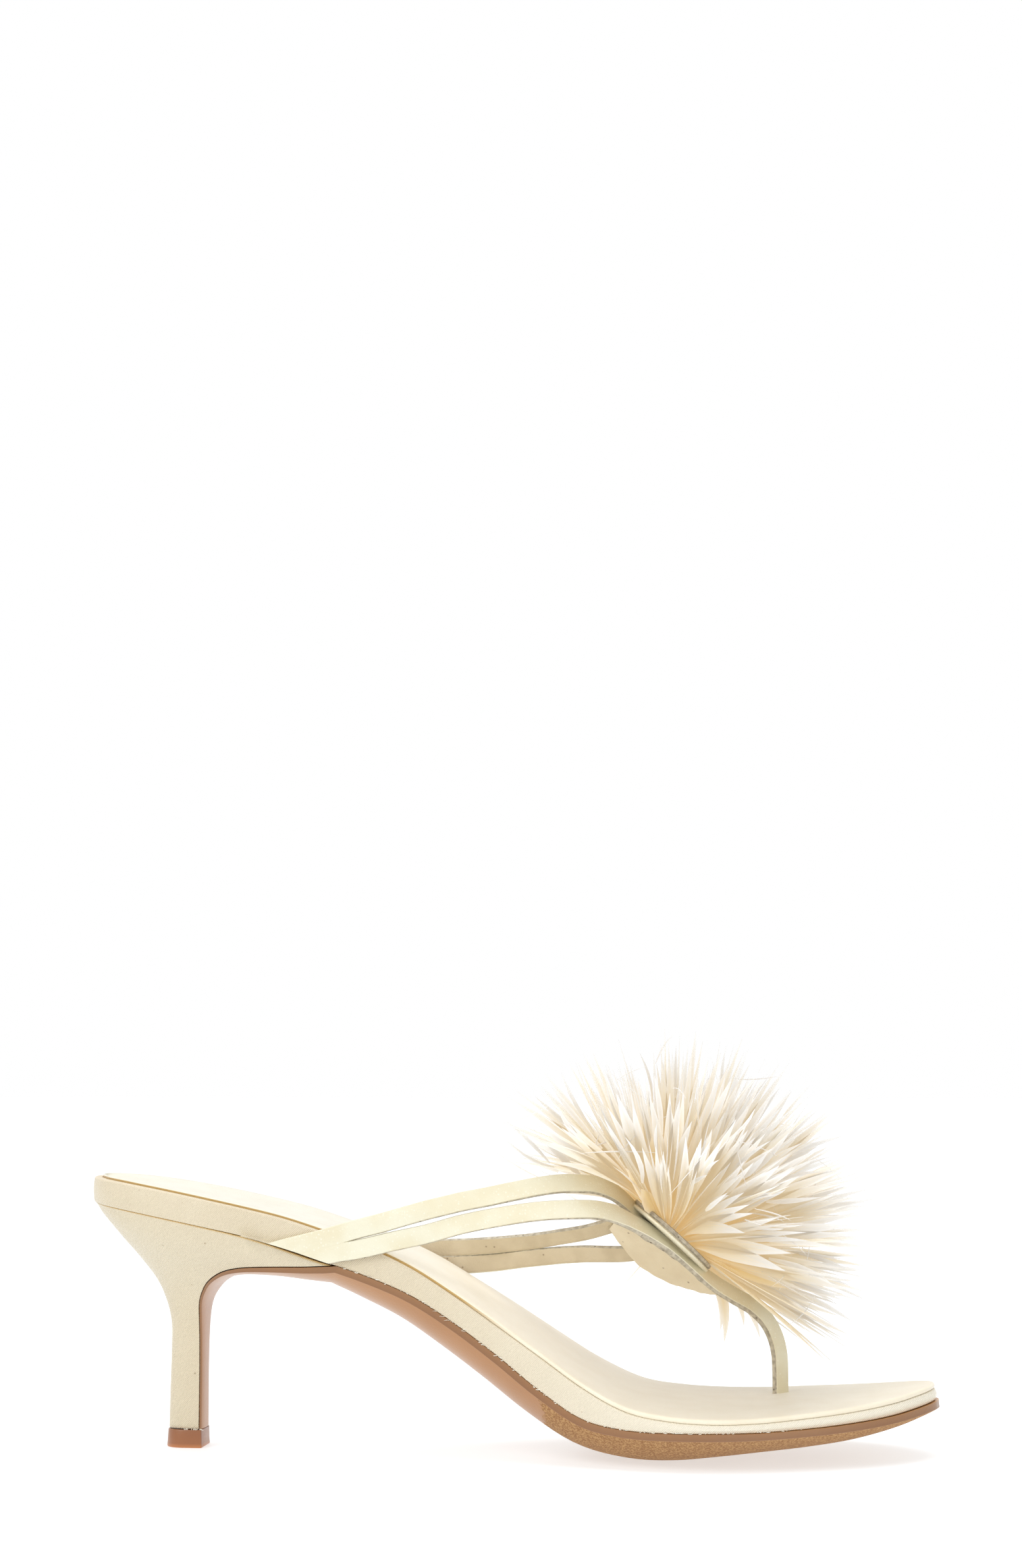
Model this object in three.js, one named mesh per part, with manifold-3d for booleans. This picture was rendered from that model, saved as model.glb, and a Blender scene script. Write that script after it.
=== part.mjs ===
// A heeled thong sandal with a feather pompom, for the right foot, standing empty on its sole.
// Millimetres. X runs from heel to toe, Y towards the big toe's side, Z up.
// The origin is on the floor, on the face of the top lift, under the stem of the heel.

import * as THREE from "three";
import { mergeVertices } from "three/addons/utils/BufferGeometryUtils.js";
import Module from "manifold-3d";

const wasm = await Module();
wasm.setup();

// Sole: lengths, widths and heights
const soleLength = 240; // back of the seat to the tip of the toe
const ballWidth = 76; // across the widest part of the forefoot
const seatOverhang = 28; // how far the seat reaches behind the origin
const seatHeight = 69.3; // floor to the footbed's underside at the back of the seat
const outsoleDepth = 10.3; // floor to the footbed's underside at the ball
const toeSpring = 5.3; // how much higher the footbed's underside is at the toe
const footbedThickness = 7.5;
const soleCrown = 1.2; // how far the middle stands above the edge in the forefoot
const edgeRoll = 1.1; // radius of the footbed's rolled edges
const fitGap = 0.3; // between pieces that touch

// Insole sock
const sockThickness = 1.2;
const sockMargin = 2.2; // width of the bare rim around the seat
const rimHeight = 0.7; // how far that rim stands above the sock's bed

// Outsole
const edgeStrip = 1.8; // height of its upright edge
const welt = 0.8; // how far it stands out past the footbed at the toe
const bellyPower = 3.2; // how full the rounded underside is

// Heel and top lift
const liftHeight = 5;
const liftWidth = 10.4;
const liftBack = 5.7; // behind the origin
const liftFront = 4.9; // ahead of it
const breastAhead = 4; // front of the stem, ahead of the origin
const wingLength = 41.5; // breast to the tip of the forward wing
const wingDrop = 0.53; // how far the wing's tip lies below the footbed's underside
const seatRound = 28.8; // length of the rounded back of the seat

// Upper
const strapWidth = 5.4;
const strapThickness = 1.6;
const strapRise = 50; // scale of the straps' height over the footbed
const patchThickness = 1.8;
const thongDepth = 2; // how far the thong goes below the sock's top

// Backing disc and feathers
const discRadius = 14.6;
const discThickness = 2.6;
const discPitch = 41.5; // degrees that its face leans forward
const discRoll = 8; // degrees that it leans to the big toe's side
const coreRadius = 13;
const featherReach = 58;
const featherWidth = 7;
const featherThickness = 1.6;
const featherSpread = 106; // degrees from the pompom's axis
const featherCount = 78;
const featherTwist = 0.9; // radians by which each lock is turned on past the one before

const satin = new THREE.MeshStandardMaterial({ color: 0xe9dcc0, roughness: 0.5, metalness: 0 });
const strapLeather = new THREE.MeshStandardMaterial({ color: 0xefe3bb, roughness: 0.5, metalness: 0 });
const sockLeather = new THREE.MeshStandardMaterial({ color: 0xe8dbc2, roughness: 0.7, metalness: 0 });
const brownLeather = new THREE.MeshStandardMaterial({ color: 0xb4825c, roughness: 0.35, metalness: 0 });
const brownRubber = new THREE.MeshStandardMaterial({ color: 0xa56a40, roughness: 0.4, metalness: 0 });
const feather = new THREE.MeshStandardMaterial({ color: 0xf3e3c9, roughness: 0.8, metalness: 0 });

// Half widths as shares of half the ball's width, along the length of the sole
const outlineRows = [
  { along: 0, outer: 0, inner: 0 },
  { along: 0.01, outer: 0.226, inner: 0.226 },
  { along: 0.03, outer: 0.384, inner: 0.384 },
  { along: 0.07, outer: 0.532, inner: 0.53 },
  { along: 0.12, outer: 0.616, inner: 0.608 },
  { along: 0.2, outer: 0.658, inner: 0.634 },
  { along: 0.3, outer: 0.645, inner: 0.605 },
  { along: 0.42, outer: 0.635, inner: 0.6 },
  { along: 0.55, outer: 0.71, inner: 0.776 },
  { along: 0.63, outer: 0.842, inner: 0.947 },
  { along: 0.7, outer: 0.947, inner: 1.047 },
  { along: 0.77, outer: 0.921, inner: 1.079 },
  { along: 0.85, outer: 0.758, inner: 0.98 },
  { along: 0.91, outer: 0.57, inner: 0.835 },
  { along: 0.95, outer: 0.38, inner: 0.68 },
  { along: 0.98, outer: 0.16, inner: 0.485 },
  { along: 1, outer: -0.16, inner: 0.16 },
];

// Side view of the footbed and the outsole under it.
// rise: share of the seat's height over the ball, spring: share of the toe spring,
// thick: share of the footbed's thickness, crown: share of the crown,
// rim: share of the seat's bare rim, belly: share of the outsole's depth below its edge strip
const profileRows = [
  { along: 0, rise: 1, spring: 0, thick: 0.96, crown: -0.6, rim: 1, belly: 0.485 },
  { along: 0.05, rise: 0.973, spring: 0, thick: 1, crown: -0.8, rim: 1, belly: 0.485 },
  { along: 0.1, rise: 0.94, spring: 0, thick: 1.013, crown: -0.9, rim: 1, belly: 0.485 },
  { along: 0.15, rise: 0.902, spring: 0, thick: 1.013, crown: -0.9, rim: 1, belly: 0.485 },
  { along: 0.2, rise: 0.861, spring: 0, thick: 1.005, crown: -0.8, rim: 1, belly: 0.485 },
  { along: 0.25, rise: 0.807, spring: 0, thick: 1.05, crown: -0.6, rim: 1, belly: 0.485 },
  { along: 0.3, rise: 0.741, spring: 0, thick: 1.08, crown: -0.4, rim: 0.9, belly: 0.485 },
  { along: 0.35, rise: 0.673, spring: 0, thick: 1.093, crown: -0.2, rim: 0.75, belly: 0.6 },
  { along: 0.4, rise: 0.588, spring: 0, thick: 1.08, crown: 0, rim: 0.5, belly: 0.69 },
  { along: 0.45, rise: 0.466, spring: 0, thick: 1.12, crown: 0.2, rim: 0.25, belly: 0.757 },
  { along: 0.5, rise: 0.322, spring: 0, thick: 1.253, crown: 0.4, rim: 0, belly: 0.777 },
  { along: 0.55, rise: 0.166, spring: 0, thick: 1.4, crown: 0.6, rim: 0, belly: 0.777 },
  { along: 0.6, rise: 0.044, spring: 0, thick: 1.307, crown: 0.8, rim: 0, belly: 0.79 },
  { along: 0.65, rise: 0.005, spring: 0, thick: 0.84, crown: 0.9, rim: 0, belly: 0.85 },
  { along: 0.7, rise: 0, spring: 0, thick: 0.6, crown: 1, rim: 0, belly: 0.84 },
  { along: 0.75, rise: 0, spring: 0, thick: 0.507, crown: 1, rim: 0, belly: 0.72 },
  { along: 0.8, rise: 0, spring: 0.04, thick: 0.507, crown: 0.9, rim: 0, belly: 0.6 },
  { along: 0.85, rise: 0, spring: 0.15, thick: 0.547, crown: 0.7, rim: 0, belly: 0.524 },
  { along: 0.9, rise: 0, spring: 0.32, thick: 0.573, crown: 0.5, rim: 0, belly: 0.427 },
  { along: 0.95, rise: 0, spring: 0.58, thick: 0.6, crown: 0.3, rim: 0, belly: 0.25 },
  { along: 1, rise: 0, spring: 1, thick: 0.613, crown: 0, rim: 0, belly: 0.03 },
];

// Back of the heel: up is a share of the heel's height, back of the seat's overhang
const heelBackRows = [
  { along: 0, back: 0.196 },
  { along: 0.15, back: 0.19 },
  { along: 0.38, back: 0.179 },
  { along: 0.47, back: 0.186 },
  { along: 0.556, back: 0.236 },
  { along: 0.644, back: 0.336 },
  { along: 0.73, back: 0.507 },
  { along: 0.819, back: 0.718 },
  { along: 0.906, back: 0.9 },
  { along: 1, back: 0.985 },
];

// Half width of the heel as a share of the footbed's, by share of the heel's height below the footbed
const heelTaperRows = [
  { along: 0, share: 0.985 },
  { along: 0.08, share: 0.9 },
  { along: 0.14, share: 0.78 },
  { along: 0.2, share: 0.63 },
  { along: 0.27, share: 0.48 },
  { along: 0.33, share: 0.37 },
  { along: 0.39, share: 0.29 },
  { along: 0.45, share: 0.237 },
  { along: 0.54, share: 0.2 },
  { along: 0.7, share: 0.184 },
  { along: 1, share: 0.2 },
];

// Breast and underside of the wing: along is a share of the curve's own run,
// ahead of the wing's length, up of the height of its tip, thick of the outsole's depth,
// strip of its edge strip
const breastRows = [
  { along: 0, ahead: 0, up: 0.1, thick: 0.087, strip: 0.3 },
  { along: 0.2, ahead: 0, up: 0.36, thick: 0.087, strip: 0.3 },
  { along: 0.4, ahead: 0.001, up: 0.62, thick: 0.09, strip: 0.3 },
  { along: 0.47, ahead: 0.004, up: 0.725, thick: 0.1, strip: 0.32 },
  { along: 0.52, ahead: 0.014, up: 0.782, thick: 0.11, strip: 0.34 },
  { along: 0.57, ahead: 0.04, up: 0.833, thick: 0.125, strip: 0.38 },
  { along: 0.62, ahead: 0.09, up: 0.89, thick: 0.15, strip: 0.44 },
  { along: 0.68, ahead: 0.175, up: 0.938, thick: 0.18, strip: 0.5 },
  { along: 0.74, ahead: 0.265, up: 0.965, thick: 0.21, strip: 0.56 },
  { along: 0.8, ahead: 0.39, up: 0.981, thick: 0.25, strip: 0.62 },
  { along: 0.87, ahead: 0.6, up: 0.989, thick: 0.33, strip: 0.75 },
  { along: 0.94, ahead: 0.82, up: 0.993, thick: 0.46, strip: 0.9 },
  { along: 1, ahead: 1, up: 1, thick: 0.58, strip: 1 },
];

// The straps' middle lines. along: share of the sole's length, out: share of half the ball's width,
// hug: 1 where the strap lies on the footbed's side, whatever out says, 0 where it is clear of it,
// over: height above the footbed's top as a share of the straps' rise,
// lean: degrees that the outer face is turned up from upright
const nearUpperRows = [
  { along: 0.205, out: 0.69, hug: 1, over: -0.3, lean: 0 },
  { along: 0.277, out: 0.68, hug: 1, over: -0.111, lean: 0 },
  { along: 0.308, out: 0.68, hug: 1, over: -0.024, lean: 0 },
  { along: 0.338, out: 0.68, hug: 1, over: 0.066, lean: 1 },
  { along: 0.368, out: 0.68, hug: 0.9, over: 0.159, lean: 3 },
  { along: 0.398, out: 0.66, hug: 0.3, over: 0.267, lean: 6 },
  { along: 0.428, out: 0.63, hug: 0, over: 0.387, lean: 8 },
  { along: 0.457, out: 0.58, hug: 0, over: 0.506, lean: 10 },
  { along: 0.487, out: 0.52, hug: 0, over: 0.625, lean: 12 },
  { along: 0.517, out: 0.45, hug: 0, over: 0.75, lean: 15 },
  { along: 0.546, out: 0.37, hug: 0, over: 0.87, lean: 18 },
  { along: 0.575, out: 0.28, hug: 0, over: 0.977, lean: 22 },
  { along: 0.605, out: 0.18, hug: 0, over: 1.058, lean: 32 },
  { along: 0.628, out: 0.08, hug: 0, over: 1.07, lean: 48 },
  { along: 0.648, out: -0.02, hug: 0, over: 1.02, lean: 62 },
  { along: 0.668, out: -0.1, hug: 0, over: 0.92, lean: 75 },
];

const nearLowerRows = [
  { along: 0.238, out: 0.69, hug: 1, over: -0.31, lean: 0 },
  { along: 0.308, out: 0.68, hug: 1, over: -0.118, lean: 0 },
  { along: 0.338, out: 0.68, hug: 1, over: -0.046, lean: 0 },
  { along: 0.368, out: 0.68, hug: 1, over: 0.043, lean: 1 },
  { along: 0.413, out: 0.65, hug: 0.4, over: 0.196, lean: 4 },
  { along: 0.458, out: 0.595, hug: 0, over: 0.386, lean: 6 },
  { along: 0.502, out: 0.525, hug: 0, over: 0.563, lean: 8 },
  { along: 0.546, out: 0.43, hug: 0, over: 0.734, lean: 11 },
  { along: 0.591, out: 0.33, hug: 0, over: 0.886, lean: 18 },
  { along: 0.62, out: 0.26, hug: 0, over: 0.952, lean: 30 },
  { along: 0.643, out: 0.195, hug: 0, over: 0.958, lean: 48 },
  { along: 0.665, out: 0.14, hug: 0, over: 0.925, lean: 64 },
  { along: 0.688, out: 0.085, hug: 0, over: 0.862, lean: 76 },
  { along: 0.703, out: 0.03, hug: 0, over: 0.81, lean: 76 },
  { along: 0.722, out: -0.05, hug: 0, over: 0.74, lean: 66 },
  { along: 0.744, out: -0.13, hug: 0, over: 0.655, lean: 52 },
  { along: 0.766, out: -0.2, hug: 0, over: 0.585, lean: 46 },
  { along: 0.787, out: -0.26, hug: 0, over: 0.52, lean: 45 },
  { along: 0.803, out: -0.31, hug: 0, over: 0.44, lean: 45 },
  { along: 0.813, out: -0.35, hug: 0, over: 0.345, lean: 45 },
  { along: 0.818, out: -0.375, hug: 0, over: 0.24, lean: 45 },
  { along: 0.819, out: -0.385, hug: 0, over: 0.12, lean: 45 },
  { along: 0.819, out: -0.385, hug: 0, over: 0, lean: 45 },
];

const farUpperRows = [
  { along: 0.25, out: 0.64, hug: 1, over: -0.28, lean: 0 },
  { along: 0.308, out: 0.63, hug: 1, over: -0.165, lean: 0 },
  { along: 0.36, out: 0.62, hug: 1, over: -0.072, lean: 2 },
  { along: 0.39, out: 0.62, hug: 1, over: 0, lean: 6 },
  { along: 0.416, out: 0.62, hug: 0.5, over: 0.07, lean: 14 },
  { along: 0.465, out: 0.6, hug: 0, over: 0.232, lean: 26 },
  { along: 0.513, out: 0.545, hug: 0, over: 0.408, lean: 32 },
  { along: 0.563, out: 0.47, hug: 0, over: 0.608, lean: 38 },
  { along: 0.612, out: 0.38, hug: 0, over: 0.79, lean: 42 },
  { along: 0.645, out: 0.3, hug: 0, over: 0.88, lean: 44 },
];

const farLowerRows = [
  { along: 0.29, out: 0.63, hug: 1, over: -0.28, lean: 0 },
  { along: 0.34, out: 0.62, hug: 1, over: -0.18, lean: 0 },
  { along: 0.39, out: 0.62, hug: 1, over: -0.09, lean: 0 },
  { along: 0.416, out: 0.63, hug: 1, over: -0.03, lean: 2 },
  { along: 0.465, out: 0.65, hug: 0.3, over: 0.127, lean: 8 },
  { along: 0.513, out: 0.6, hug: 0, over: 0.31, lean: 14 },
  { along: 0.562, out: 0.55, hug: 0, over: 0.495, lean: 20 },
  { along: 0.595, out: 0.505, hug: 0, over: 0.605, lean: 26 },
  { along: 0.643, out: 0.435, hug: 0, over: 0.71, lean: 36 },
  { along: 0.672, out: 0.36, hug: 0, over: 0.735, lean: 42 },
];

// The vamp patch, from its rear edge to its tip: a near edge, a ridge and a far edge,
// each with its place as in the straps' tables
const patchRows = [
  {
    near: { along: 0.63, out: 0.17, over: 0.92 },
    ridge: { along: 0.637, out: -0.04, over: 0.98 },
    far: { along: 0.618, out: -0.34, over: 0.83 },
  },
  {
    near: { along: 0.65, out: 0.15, over: 0.91 },
    ridge: { along: 0.658, out: -0.07, over: 0.95 },
    far: { along: 0.636, out: -0.43, over: 0.74 },
  },
  {
    near: { along: 0.676, out: 0.1, over: 0.85 },
    ridge: { along: 0.684, out: -0.11, over: 0.88 },
    far: { along: 0.663, out: -0.48, over: 0.66 },
  },
  {
    near: { along: 0.705, out: 0.01, over: 0.77 },
    ridge: { along: 0.711, out: -0.15, over: 0.79 },
    far: { along: 0.7, out: -0.45, over: 0.61 },
  },
  {
    near: { along: 0.731, out: -0.1, over: 0.66 },
    ridge: { along: 0.735, out: -0.2, over: 0.68 },
    far: { along: 0.731, out: -0.35, over: 0.59 },
  },
  {
    near: { along: 0.75, out: -0.17, over: 0.6 },
    ridge: { along: 0.752, out: -0.205, over: 0.605 },
    far: { along: 0.753, out: -0.24, over: 0.58 },
  },
];

// The disc's middle, with its place as in the straps' tables
const discRows = [
  { along: 0.692, out: -0.158, over: 0.9 },
];

// Value of a column at a place along a table, on a smooth curve through its rows
function readTable(rows, at, column) {
  const last = rows.length - 1;
  let index = 0;
  while (index < last - 1 && at > rows[index + 1].along) index += 1;
  const before = rows[Math.max(index - 1, 0)];
  const start = rows[index];
  const end = rows[index + 1];
  const after = rows[Math.min(index + 2, last)];
  const span = end.along - start.along;
  const t = (at - start.along) / span;
  const startSlope = ((end[column] - before[column]) / (end.along - before.along)) * span;
  const endSlope = ((after[column] - start[column]) / (after.along - start.along)) * span;
  const rise = t * t * (3 - 2 * t);
  const startPull = t * (1 - t) * (1 - t) * startSlope;
  const endPull = t * t * (t - 1) * endSlope;
  return start[column] + rise * (end[column] - start[column]) + startPull + endPull;
}

// The outline is read by the angle of a half circle over the length, so that its ends are round
const turnOf = (along) => Math.acos(1 - 2 * Math.min(Math.max(along, 0), 1));
const turnedOutline = outlineRows.map((row) => ({ ...row, along: turnOf(row.along) }));
const alongOf = (x) => (x + seatOverhang) / soleLength;
const placeOf = (along) => along * soleLength - seatOverhang;

function halfWidth(along, side) {
  const column = side < 0 ? "outer" : "inner";
  return (readTable(turnedOutline, turnOf(along), column) * ballWidth) / 2;
}

const profileAt = (x, column) => readTable(profileRows, Math.min(Math.max(alongOf(x), 0), 1), column);

// Underside of the footbed, its top under the sock, and the sock's own top
function seamHeight(x) {
  const arch = profileAt(x, "rise") * (seatHeight - outsoleDepth);
  return outsoleDepth + arch + profileAt(x, "spring") * toeSpring;
}

function bedHeight(x) {
  const rim = profileAt(x, "rim");
  const sunk = rim * rimHeight + (1 - rim) * (sockThickness + fitGap);
  return seamHeight(x) + profileAt(x, "thick") * footbedThickness - sunk;
}

const treadHeight = (x) => bedHeight(x) + fitGap + sockThickness;

// A point on the outline, moved inwards by an inset
function outlinePoint(along, side, inset) {
  const middle = (halfWidth(along, 1) - halfWidth(along, -1)) / 2;
  if (along <= 0) return [placeOf(0) + inset, middle];
  if (along >= 1) return [placeOf(1) - inset, middle];
  const turn = turnOf(along);
  const step = 0.002;
  const before = (1 - Math.cos(Math.max(turn - step, 0))) / 2;
  const after = (1 - Math.cos(Math.min(turn + step, Math.PI))) / 2;
  const run = (after - before) * soleLength;
  const growth = halfWidth(after, side) - halfWidth(before, side);
  const slant = Math.hypot(run, growth);
  const x = placeOf(along) + (inset * growth) / slant;
  const y = side * (halfWidth(along, side) - (inset * run) / slant);
  return [x, y];
}

// A closed skin over rows of points. Each row is a closed loop, and a row may shrink to a line.
function skin(rows, capStart, capEnd) {
  const around = rows[0].length;
  const corners = [];
  for (let row = 0; row + 1 < rows.length; row += 1) {
    for (let column = 0; column < around; column += 1) {
      const a = row * around + column;
      const b = row * around + ((column + 1) % around);
      corners.push(a, b, a + around, b, b + around, a + around);
    }
  }
  const end = (rows.length - 1) * around;
  for (let column = 1; column + 1 < around; column += 1) {
    if (capStart) corners.push(0, column + 1, column);
    if (capEnd) corners.push(end, end + column, end + column + 1);
  }
  const raw = new THREE.BufferGeometry();
  raw.setAttribute("position", new THREE.Float32BufferAttribute(rows.flat(2), 3));
  raw.setIndex(corners);
  return facingOut(raw);
}

// Welds the corners, drops what has no area and turns the faces outwards
function facingOut(raw) {
  const merged = mergeVertices(raw, 1e-4);
  const corners = merged.index.array;
  const position = merged.attributes.position;
  const kept = [];
  let volume = 0;
  const a = new THREE.Vector3();
  const b = new THREE.Vector3();
  const c = new THREE.Vector3();
  for (let index = 0; index < corners.length; index += 3) {
    const face = [corners[index], corners[index + 1], corners[index + 2]];
    if (new Set(face).size < 3) continue;
    kept.push(face);
    a.fromBufferAttribute(position, face[0]);
    b.fromBufferAttribute(position, face[1]);
    c.fromBufferAttribute(position, face[2]);
    volume += a.dot(b.cross(c));
  }
  const turned = kept.map((face) => (volume < 0 ? [face[0], face[2], face[1]] : face));
  merged.setIndex(turned.flat());
  return merged;
}

function toSolid(geometry) {
  const bare = new THREE.BufferGeometry();
  bare.setAttribute("position", geometry.attributes.position.clone());
  if (geometry.index) bare.setIndex(geometry.index.clone());
  const closed = facingOut(bare);
  const vertProperties = new Float32Array(closed.attributes.position.array);
  const triVerts = new Uint32Array(closed.index.array);
  return new wasm.Manifold(new wasm.Mesh({ numProp: 3, vertProperties, triVerts }));
}

function toGeometry(solid) {
  const mesh = solid.getMesh();
  const geometry = new THREE.BufferGeometry();
  geometry.setAttribute("position", new THREE.Float32BufferAttribute(mesh.vertProperties, 3));
  geometry.setIndex(Array.from(mesh.triVerts));
  return geometry;
}

// Places along the sole, close together at its round ends
function stations(count, from, to) {
  const places = [];
  for (let index = 0; index <= count; index += 1) {
    const turn = turnOf(from) + ((turnOf(to) - turnOf(from)) * index) / count;
    places.push((1 - Math.cos(turn)) / 2);
  }
  return places;
}

const soleStations = stations(40, 0, 1);

// One row of a slab: up one side, across the top, down the other side and back underneath
function slabRow(along, walls, topHeight, crownHeight, baseHeight) {
  const across = [0.2, 0.5, 0.8];
  const sides = [-1, 1].map((side) => walls(along).map(({ inset, height }) => {
    const [x, y] = outlinePoint(along, side, inset);
    return [x, y, height(x)];
  }));
  const [outer, inner] = sides;
  const start = outer[outer.length - 1];
  const end = inner[inner.length - 1];
  const top = across.map((share) => {
    const x = start[0] + share * (end[0] - start[0]);
    const y = start[1] + share * (end[1] - start[1]);
    const swell = 4 * share * (1 - share);
    return [x, y, topHeight(x) + crownHeight(x) * swell];
  });
  const bottom = [0.75, 0.25].map((share) => {
    const x = outer[0][0] + share * (inner[0][0] - outer[0][0]);
    const y = outer[0][1] + share * (inner[0][1] - outer[0][1]);
    const swell = 4 * share * (1 - share);
    return [x, y, baseHeight(x, swell)];
  });
  return [...outer, ...top, ...inner.reverse(), ...bottom];
}

const crownAt = (x) => profileAt(x, "crown") * soleCrown;

// Footbed: a wrapped board with a rolled edge and, around the seat, a bare rim
function footbedSolid() {
  const rimAt = (along) => readTable(profileRows, along, "rim");
  const walls = (along) => {
    const rim = rimAt(along);
    const margin = rim * sockMargin + (1 - rim) * edgeRoll;
    const rimTop = (x) => bedHeight(x) + rim * rimHeight;
    return [
      { inset: edgeRoll, height: seamHeight },
      { inset: 0, height: (x) => seamHeight(x) + edgeRoll * 0.8 },
      { inset: 0, height: (x) => rimTop(x) - edgeRoll * 0.9 },
      { inset: edgeRoll * 0.35, height: (x) => rimTop(x) - edgeRoll * 0.3 },
      { inset: edgeRoll * 0.98, height: rimTop },
      { inset: Math.max(margin - 0.05, edgeRoll * 0.99), height: rimTop },
      { inset: Math.max(margin, edgeRoll) + 0.05, height: bedHeight },
    ];
  };
  const rows = soleStations.map((along) => slabRow(along, walls, bedHeight, crownAt, seamHeight));
  return toSolid(skin(rows, false, false));
}

// Sock: a thin lining that keeps clear of the rim around the seat and covers the forefoot
function sockSolid() {
  const lowHeight = (x) => bedHeight(x) + fitGap;
  const roll = sockThickness * 0.4;
  const walls = (along) => {
    const rim = readTable(profileRows, along, "rim");
    const margin = rim * (sockMargin + fitGap) + (1 - rim) * fitGap;
    return [
      { inset: margin + roll, height: lowHeight },
      { inset: margin, height: (x) => lowHeight(x) + roll },
      { inset: margin, height: (x) => treadHeight(x) - roll },
      { inset: margin + roll, height: treadHeight },
    ];
  };
  const base = (x, swell) => lowHeight(x) + crownAt(x) * swell;
  const rows = soleStations.map((along) => slabRow(along, walls, treadHeight, crownAt, base));
  return toSolid(skin(rows, false, false));
}

// Half width of the heel block at a place and height
function heelHalf(x, z, side) {
  const depth = (seamHeight(x) - z) / (seatHeight - liftHeight);
  const share = readTable(heelTaperRows, Math.min(Math.max(depth, 0), 1), "share");
  const seatAlong = Math.max(alongOf(x), seatRound / soleLength);
  return share * halfWidth(seatAlong, side);
}

const wingHeight = seamHeight(breastAhead + wingLength) - wingDrop;

// The curve up the breast and along the wing's underside, moved off by a gap
function breastPoint(at, gap) {
  const read = (share, column) => readTable(breastRows, Math.min(Math.max(share, 0), 1), column);
  const place = (share) => new THREE.Vector2(
    breastAhead + read(share, "ahead") * wingLength,
    read(share, "up") * wingHeight,
  );
  const point = place(at);
  const run = place(at + 0.01).sub(place(at - 0.01)).normalize();
  return { x: point.x + run.y * gap, z: point.y - run.x * gap, run };
}

// Heel: the round tapering block, cut to its side view
function heelSolid() {
  const lowest = liftHeight + fitGap;
  const levels = 18;
  const rows = [];
  for (let level = 0; level <= levels; level += 1) {
    const z = lowest + ((seatHeight + 1 - lowest) * level) / levels;
    const up = Math.min((z - liftHeight) / (seatHeight - liftHeight), 1);
    const back = -readTable(heelBackRows, up, "back") * seatOverhang;
    const rear = heelHalf(back + 1, z, -1) / halfWidth(seatRound / soleLength, -1);
    const rounding = seatRound * rear;
    rows.push(heelRing(z, back, rounding));
  }
  const block = toSolid(skin(rows, true, true));
  return block.intersect(heelSideView());
}

function heelRing(z, back, rounding) {
  const front = breastAhead + wingLength + 1;
  const roundShares = [0, 0.02, 0.08, 0.2, 0.36, 0.56, 0.78, 1];
  const straightShares = [0.33, 0.66, 1];
  const side = (sign) => {
    const widest = halfWidth(seatRound / soleLength, sign);
    const points = roundShares.map((share) => {
      const bulge = halfWidth((share * seatRound) / soleLength, sign) / widest;
      const x = back + share * rounding;
      return [x, sign * bulge * heelHalf(x, z, sign), z];
    });
    const turn = back + rounding;
    straightShares.forEach((share) => {
      const x = turn + share * (front - turn);
      points.push([x, sign * heelHalf(x, z, sign), z]);
    });
    return points;
  };
  return [...side(-1), ...side(1).reverse().slice(0, -1)];
}

function heelSideView() {
  const shape = new THREE.Shape();
  const steps = 24;
  const wingTip = breastAhead + wingLength;
  const behind = -2 * seatOverhang;
  shape.moveTo(behind, liftHeight + fitGap);
  shape.lineTo(behind, seamHeight(-seatOverhang) - fitGap);
  for (let step = 0; step <= steps; step += 1) {
    const x = -seatOverhang + ((wingTip + seatOverhang) * step) / steps;
    shape.lineTo(x, seamHeight(x) - fitGap);
  }
  for (let step = steps; step >= 0; step -= 1) {
    const { x, z } = breastPoint(step / steps, 0);
    if (z > liftHeight + fitGap && z < seamHeight(x) - 2 * fitGap) shape.lineTo(x, z);
  }
  shape.lineTo(breastAhead, liftHeight + fitGap);
  return toSolid(upright(shape, ballWidth));
}

// A shape drawn in the side view, made solid across the sandal
function upright(shape, width) {
  const geometry = new THREE.ExtrudeGeometry(shape, { depth: width, bevelEnabled: false, curveSegments: 8 });
  geometry.translate(0, 0, -width / 2);
  geometry.rotateX(Math.PI / 2);
  return geometry;
}

// Outsole: a flat top, an upright edge strip and a rounded underside, carried along the sole
// and cut off at the floor, so that it stands on a flat spot under the ball
function outsoleRow(x, z, run, outer, inner, strip, belly) {
  const down = new THREE.Vector2(run.y, -run.x);
  const point = (y, depth) => [x + down.x * depth, y, Math.max(z + down.y * depth, 0)];
  const middle = (inner - outer) / 2;
  const half = (inner + outer) / 2;
  const shares = [-0.97, -0.85, -0.62, -0.3, 0, 0.3, 0.62, 0.85, 0.97];
  const under = shares.map((share) => (
    point(middle + share * half, strip + belly * (1 - Math.abs(share) ** bellyPower))
  ));
  return [point(inner, 0), point(-outer, 0), point(-outer, strip), ...under, point(inner, strip)];
}

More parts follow.
